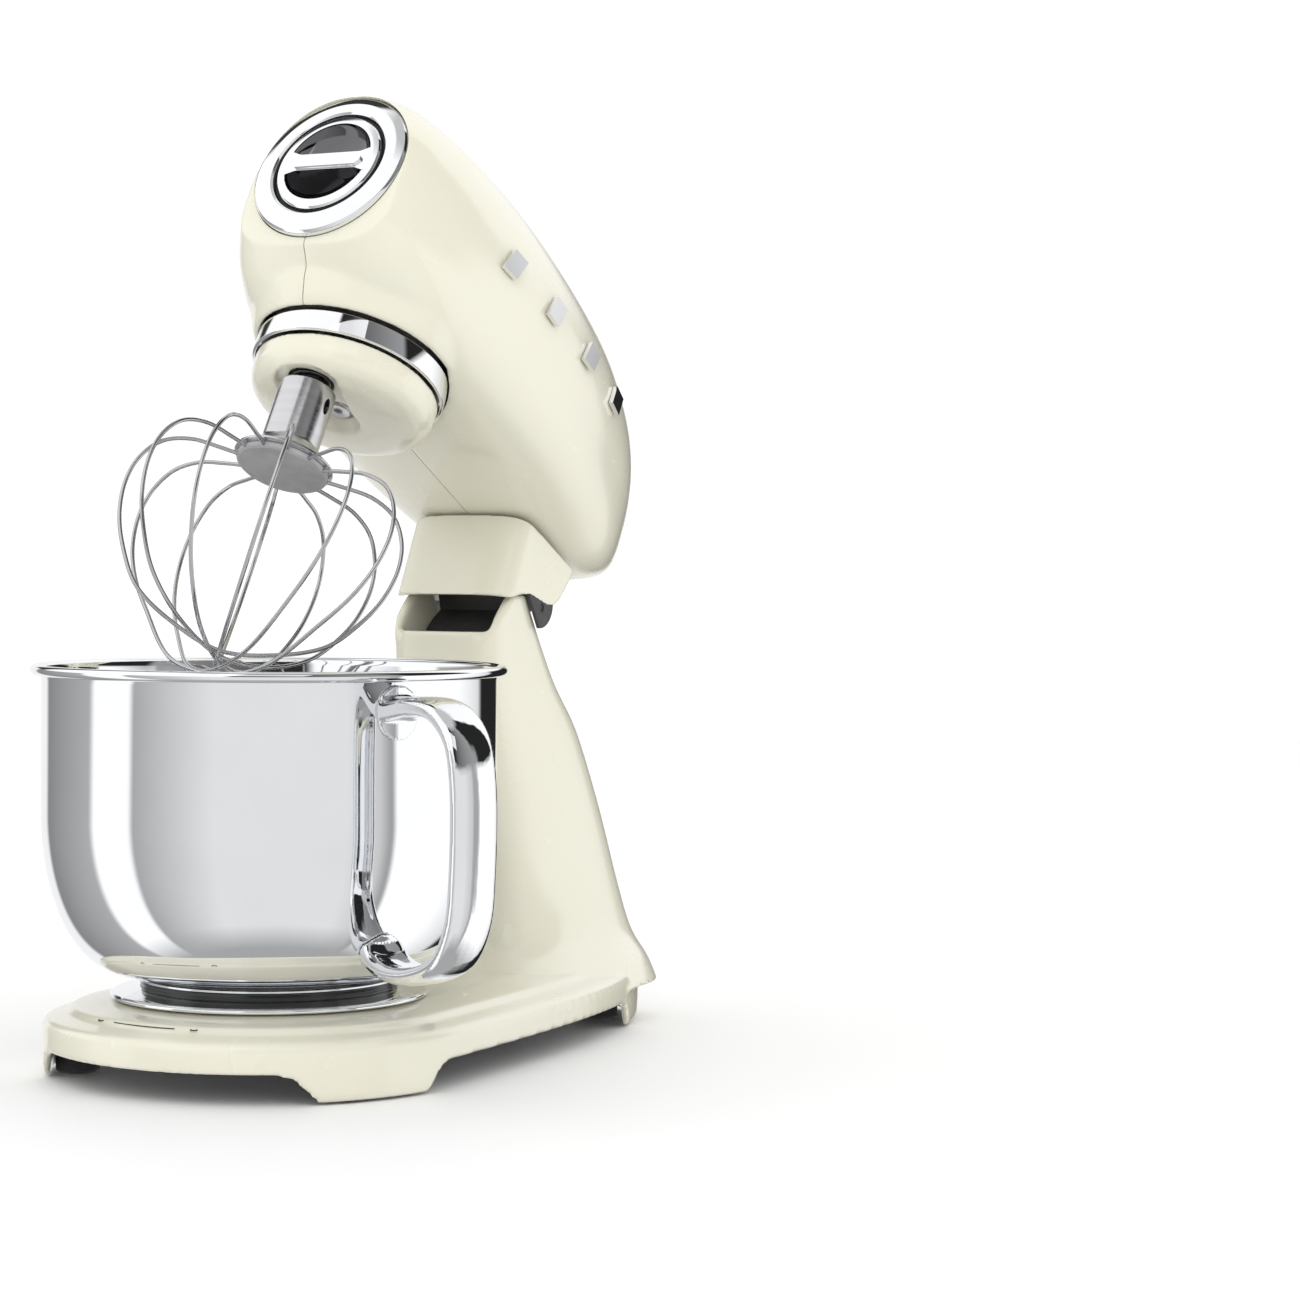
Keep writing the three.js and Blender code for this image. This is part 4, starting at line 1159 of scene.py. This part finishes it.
def whisk_socket():
    """Brushed hub with a flared flange, a side hole and the slot that takes the drive pin."""
    hub = lathe(filleted([
        (0, 163), (21.6, 163, 0.3), (22.6, 163.4, 0.4), (23.9, 164, 0.4), (23.7, 165.2, 0.5),
        (20.4, 166.4, 3), (15.6, 169, 4), (hub_radius, 173.5, 3), (hub_radius, hub_top - 0.9, 0.7),
        (hub_radius - 0.9, hub_top, 0.5), (11.4, hub_top, 0.3), (10.8, hub_top - 0.6, 0.2),
        (10.8, hub_top - 9, 0.3), (6.5, hub_top - 9, 0.3), (6.5, 164.1), (0, 164.1),
    ]), 160)
    slot = slab(filleted([
        (-2.5, 184), (-2.5, 198, 2.4), (2.5, 198, 2.4), (2.5, 184, 2.4), (-2.5, 184),
    ]), "X", -17, -6)
    side_hole = slab([(2.1 * math.cos(a), 195 + 4.2 * math.sin(a)) for a in around(40)], "X", 6, 17)
    return carve(hub, slot, side_hole)


finished(whisk_socket(), "whisk_socket", "whisk", whisk_satin, beater_space, ["whisk_hub"], sharp_angle=30)


def whisk_disc():
    return lathe(filleted([
        (0, 159.9), (20.6, 159.9, 0.8), (21.9, 160.8, 0.6), (21.9, 162.9, 0.2), (0, 162.9),
    ]), 128)


finished(whisk_disc(), "whisk_disc", "whisk", disc_plastic, beater_space, sharp_angle=40)


def whisk_loop(index):
    tip = 109.5 - 2.4 * index
    side = [
        # distance from the axis, distance below the flange
        (21.5, 0.3), (30, 0.1), (44, 0.6), (56, 6), (63.4, 17), (whisk_radius, 31), (63.5, 48),
        (56.5, 64), (45, 80), (24, tip - 6),
    ]
    height = hub_bottom + 1.9
    points = [*side, (0, tip), *[(-r, s) for r, s in reversed(side)]]
    path = smooth_path([(r, 0, height - s) for r, s in points], 9)
    turn = (index * 5 % whisk_loops) * 180 / whisk_loops + 8
    loop = tube(path, 1.0, 14)
    loop.data.transform(Matrix.Rotation(math.radians(turn), 4, "Z"))
    return loop


for index in range(whisk_loops):
    node = f"whisk_wire_{index + 1}"
    finished(whisk_loop(index), f"whisk_loop_{index + 1}", "whisk", wire_steel, beater_space, [node])

# ---------------------------------------- speed lever


def lever_knob():
    stem = block(-2.2, 2.2, -26, -20, -8, 8)
    slide = block(-8, 8, -31, -4, -8.2, -7)
    knob = lathe(filleted([
        (0, 3.2), (7.2, 3.2, 0.6), (8.6, 5.2, 1.4), (8.6, 9, 1.6), (7.4, 11.8, 2), (0, 13),
    ]), 96)
    knob.data.transform(Matrix.Translation((0, -23, 0)))
    return fuse(knob, stem, slide)


finished(lever_knob(), "lever_knob", "lever", chrome, lever_space, ["speed_lever"], sharp_angle=30)


def lever_scale():
    plate = slab(filleted([
        (0, -36), (8.5, -36, 3), (8.5, 36, 3), (-8.5, 36, 3), (-8.5, -36, 3), (-0.01, -36),
    ]), "Z", 0.9, 2.1)
    slot = slab(filleted([
        (0, -30), (3, -30, 2), (3, 30, 2), (-3, 30, 2), (-3, -30, 2), (-0.01, -30),
    ]), "Z", -1, 4)
    return bevelled(carve(plate, slot), 0.3)


finished(lever_scale(), "lever_scale", "head", chrome, lever_space, ["speed_scale"], sharp_angle=30)


def scale_ticks():
    """Nine plain marks beside the lever's slot, longer at the ends and in the middle."""
    ticks = []
    for i in range(9):
        y = -23 + 36 * i / 8
        length = 2.6 if i % 4 == 0 else 1.6
        ticks.append(block(4.2, 4.2 + length, y - 0.25, y + 0.25, 1.9, 2.16))
    return fuse_loose(ticks)


finished(scale_ticks(), "scale_ticks", "head", ink, lever_space, sharp_angle=30)

# ---------------------------------------- carried-over CAD nodes

carried = {
    "dark_plastic": dark_plastic,
    "raw_aluminium": raw_cast,
    "gear_steel": gear_steel,
    "copper_winding": copper,
    "circuit_board": circuit,
    "polished_chrome": chrome,
    "satin_steel": cad_satin,
    "cream_enamel": cream,
    "black_rubber": rubber,
}
slot_of = {part["node"]: part["material_slot"] for part in frame["record"]["subparts"]}
for node, cad_object in frame["nodes"].items():
    cad_object.data.materials.clear()
    cad_object.data.materials.append(carried[slot_of[node]])
    if node.startswith("badge_"):
        rounding = cad_object.modifiers.new("rounding", "BEVEL")
        rounding.width = 0.45 * MM
        rounding.segments = 3
        rounding.limit_method = "ANGLE"

# ---------------------------------------- camera, floor and light

camera_spot = (863.5, -1215.5, 239.0)
camera_bearing = 28.59
camera_pitch = -1.60
camera_roll = 0.38
camera_lens = 88.0
bowl_to_camera = 54.6
room_light = 1.1
floor_reach = 3  # metres


def set_camera():
    data = bpy.data.cameras.new("camera")
    data.lens = camera_lens
    data.sensor_width = 36
    data.clip_start = 0.05
    data.clip_end = 50
    camera = bpy.data.objects.new("camera", data)
    bpy.context.scene.collection.objects.link(camera)
    bearing, pitch, roll = (math.radians(v) for v in (camera_bearing, camera_pitch, camera_roll))
    level = Vector((-math.sin(bearing), math.cos(bearing), 0))
    look = level * math.cos(pitch) + Vector((0, 0, math.sin(pitch)))
    side = look.cross(Vector((0, 0, 1))).normalized()
    top = side.cross(look)
    right = side * math.cos(roll) + top * math.sin(roll)
    up = top * math.cos(roll) - side * math.sin(roll)
    turned = Matrix((right, up, -look)).transposed().to_4x4()
    camera.matrix_world = Matrix.Translation(stand_space @ Vector(camera_spot)) @ turned
    bpy.context.scene.camera = camera


def floor():
    """White paper, which mirrors don't show: they reflect the room round the object instead."""
    ring = [(floor_reach * math.cos(a), floor_reach * math.sin(a), 0) for a in around(96)]
    made = new_object("floor", ring, [tuple(range(96))])
    material = bpy.data.materials.new("floor_paper")
    material.use_nodes = True
    shader = material.node_tree.nodes["Principled BSDF"]
    shader.inputs["Specular IOR Level"].default_value = 0.15
    tree = material.node_tree
    cloud = ranged(tree, spots(tree, 3), 0, 1)
    paper = mixed(tree, cloud, (0.955, 0.955, 0.955, 1), (0.97, 0.97, 0.97, 1))
    tree.links.new(paper, shader.inputs["Base Color"])
    tree.links.new(ranged(tree, spots(tree, 40), 0.5, 0.6), shader.inputs["Roughness"])
    made.data.materials.append(material)
    made.visible_glossy = False


# Brightness round the horizon, by degrees to the right of the direction from the bowl to the camera.
eye_level = [
    (-180, 0.95), (-151, 0.95), (-146, 0.26), (-102, 0.46), (-98, 1.15), (-75, 1.15), (-72, 0.44),
    (-28, 0.83), (38, 0.83), (56, 0.66), (63, 0.35), (66, 1.15), (106, 1.15), (129, 0.8),
    (133, 0.02), (162, 0.02), (168, 0.95), (180, 0.95),
]
overhead = [
    (-180, 0.95), (-166, 0.95), (-161, 0.04), (-144, 0.04), (-139, 1.15), (-24, 1.1), (-19, 0.02),
    (0, 0.03), (8, 0.1), (66, 0.34), (71, 0.02), (112, 0.02), (116, 1.1), (150, 1.1), (180, 0.95),
]

# Where one part of the room gives way to the next, in degrees above the horizon.
low_ring_from = (-62, -45)
high_ring_from = (11, 15)
ceiling_from = (66, 74)
underneath = (0.42, 0.42, 0.42, 1)
ceiling = (0.6, 0.6, 0.6, 1)


def ring_of_light(tree, share, stops):
    bands = tree.nodes.new("ShaderNodeValToRGB")
    ramp = bands.color_ramp
    while len(ramp.elements) > 1:
        ramp.elements.remove(ramp.elements[-1])
    for i, (angle, bright) in enumerate(stops):
        position = (angle + 180) / 360
        stop = ramp.elements[0] if i == 0 else ramp.elements.new(position)
        stop.position = position
        stop.color = (bright, bright, bright * 1.01, 1)
    tree.links.new(share, bands.inputs["Fac"])
    return bands.outputs["Color"]


def above(tree, height, low, high):
    """Rises from 0 to 1 between two elevations in degrees."""
    return ranged(tree, height, 0, 1, math.sin(math.radians(low)), math.sin(math.radians(high)))


def studio_world():
    """Even white light for matt surfaces, and bright and dark panels all round for glossy ones."""
    world = bpy.data.worlds.new("studio")
    bpy.context.scene.world = world
    world.use_nodes = True
    tree = world.node_tree
    background = tree.nodes["Background"]
    place = tree.nodes.new("ShaderNodeTexCoord")
    turn = tree.nodes.new("ShaderNodeMapping")
    turn.inputs["Rotation"].default_value = (0, 0, math.radians(bowl_to_camera))
    split = tree.nodes.new("ShaderNodeSeparateXYZ")
    bearing = tree.nodes.new("ShaderNodeMath")
    bearing.operation = "ARCTAN2"
    tree.links.new(place.outputs["Generated"], turn.inputs["Vector"])
    tree.links.new(turn.outputs["Vector"], split.inputs["Vector"])
    tree.links.new(split.outputs["Y"], bearing.inputs[0])
    tree.links.new(split.outputs["X"], bearing.inputs[1])
    round_the_horizon = ranged(tree, bearing.outputs["Value"], 0, 1, -math.pi, math.pi)
    height = split.outputs["Z"]
    low_ring = ring_of_light(tree, round_the_horizon, eye_level)
    high_ring = ring_of_light(tree, round_the_horizon, overhead)
    sides = mixed(tree, above(tree, height, *low_ring_from), underneath, low_ring)
    sides = mixed(tree, above(tree, height, *high_ring_from), sides, high_ring)
    room = mixed(tree, above(tree, height, *ceiling_from), sides, ceiling)
    ray = tree.nodes.new("ShaderNodeLightPath")
    even = (room_light, room_light, room_light, 1)
    tree.links.new(mixed(tree, ray.outputs["Is Glossy Ray"], even, room), background.inputs["Color"])


def soft_light(name, spot, aim, size, power):
    data = bpy.data.lights.new(name, "AREA")
    data.shape = "RECTANGLE"
    data.size, data.size_y = size
    data.energy = power
    lamp = bpy.data.objects.new(name, data)
    bpy.context.scene.collection.objects.link(lamp)
    lamp.location = spot
    lamp.rotation_mode = "QUATERNION"
    lamp.rotation_quaternion = (Vector(aim) - Vector(spot)).to_track_quat("-Z", "Y")


set_camera()
floor()
studio_world()
soft_light("key_light", spot=(0.9, -1.6, 1.9), aim=(0, 0, 0.2), size=(1.6, 1.2), power=5)
bpy.context.scene.view_settings.view_transform = "Standard"
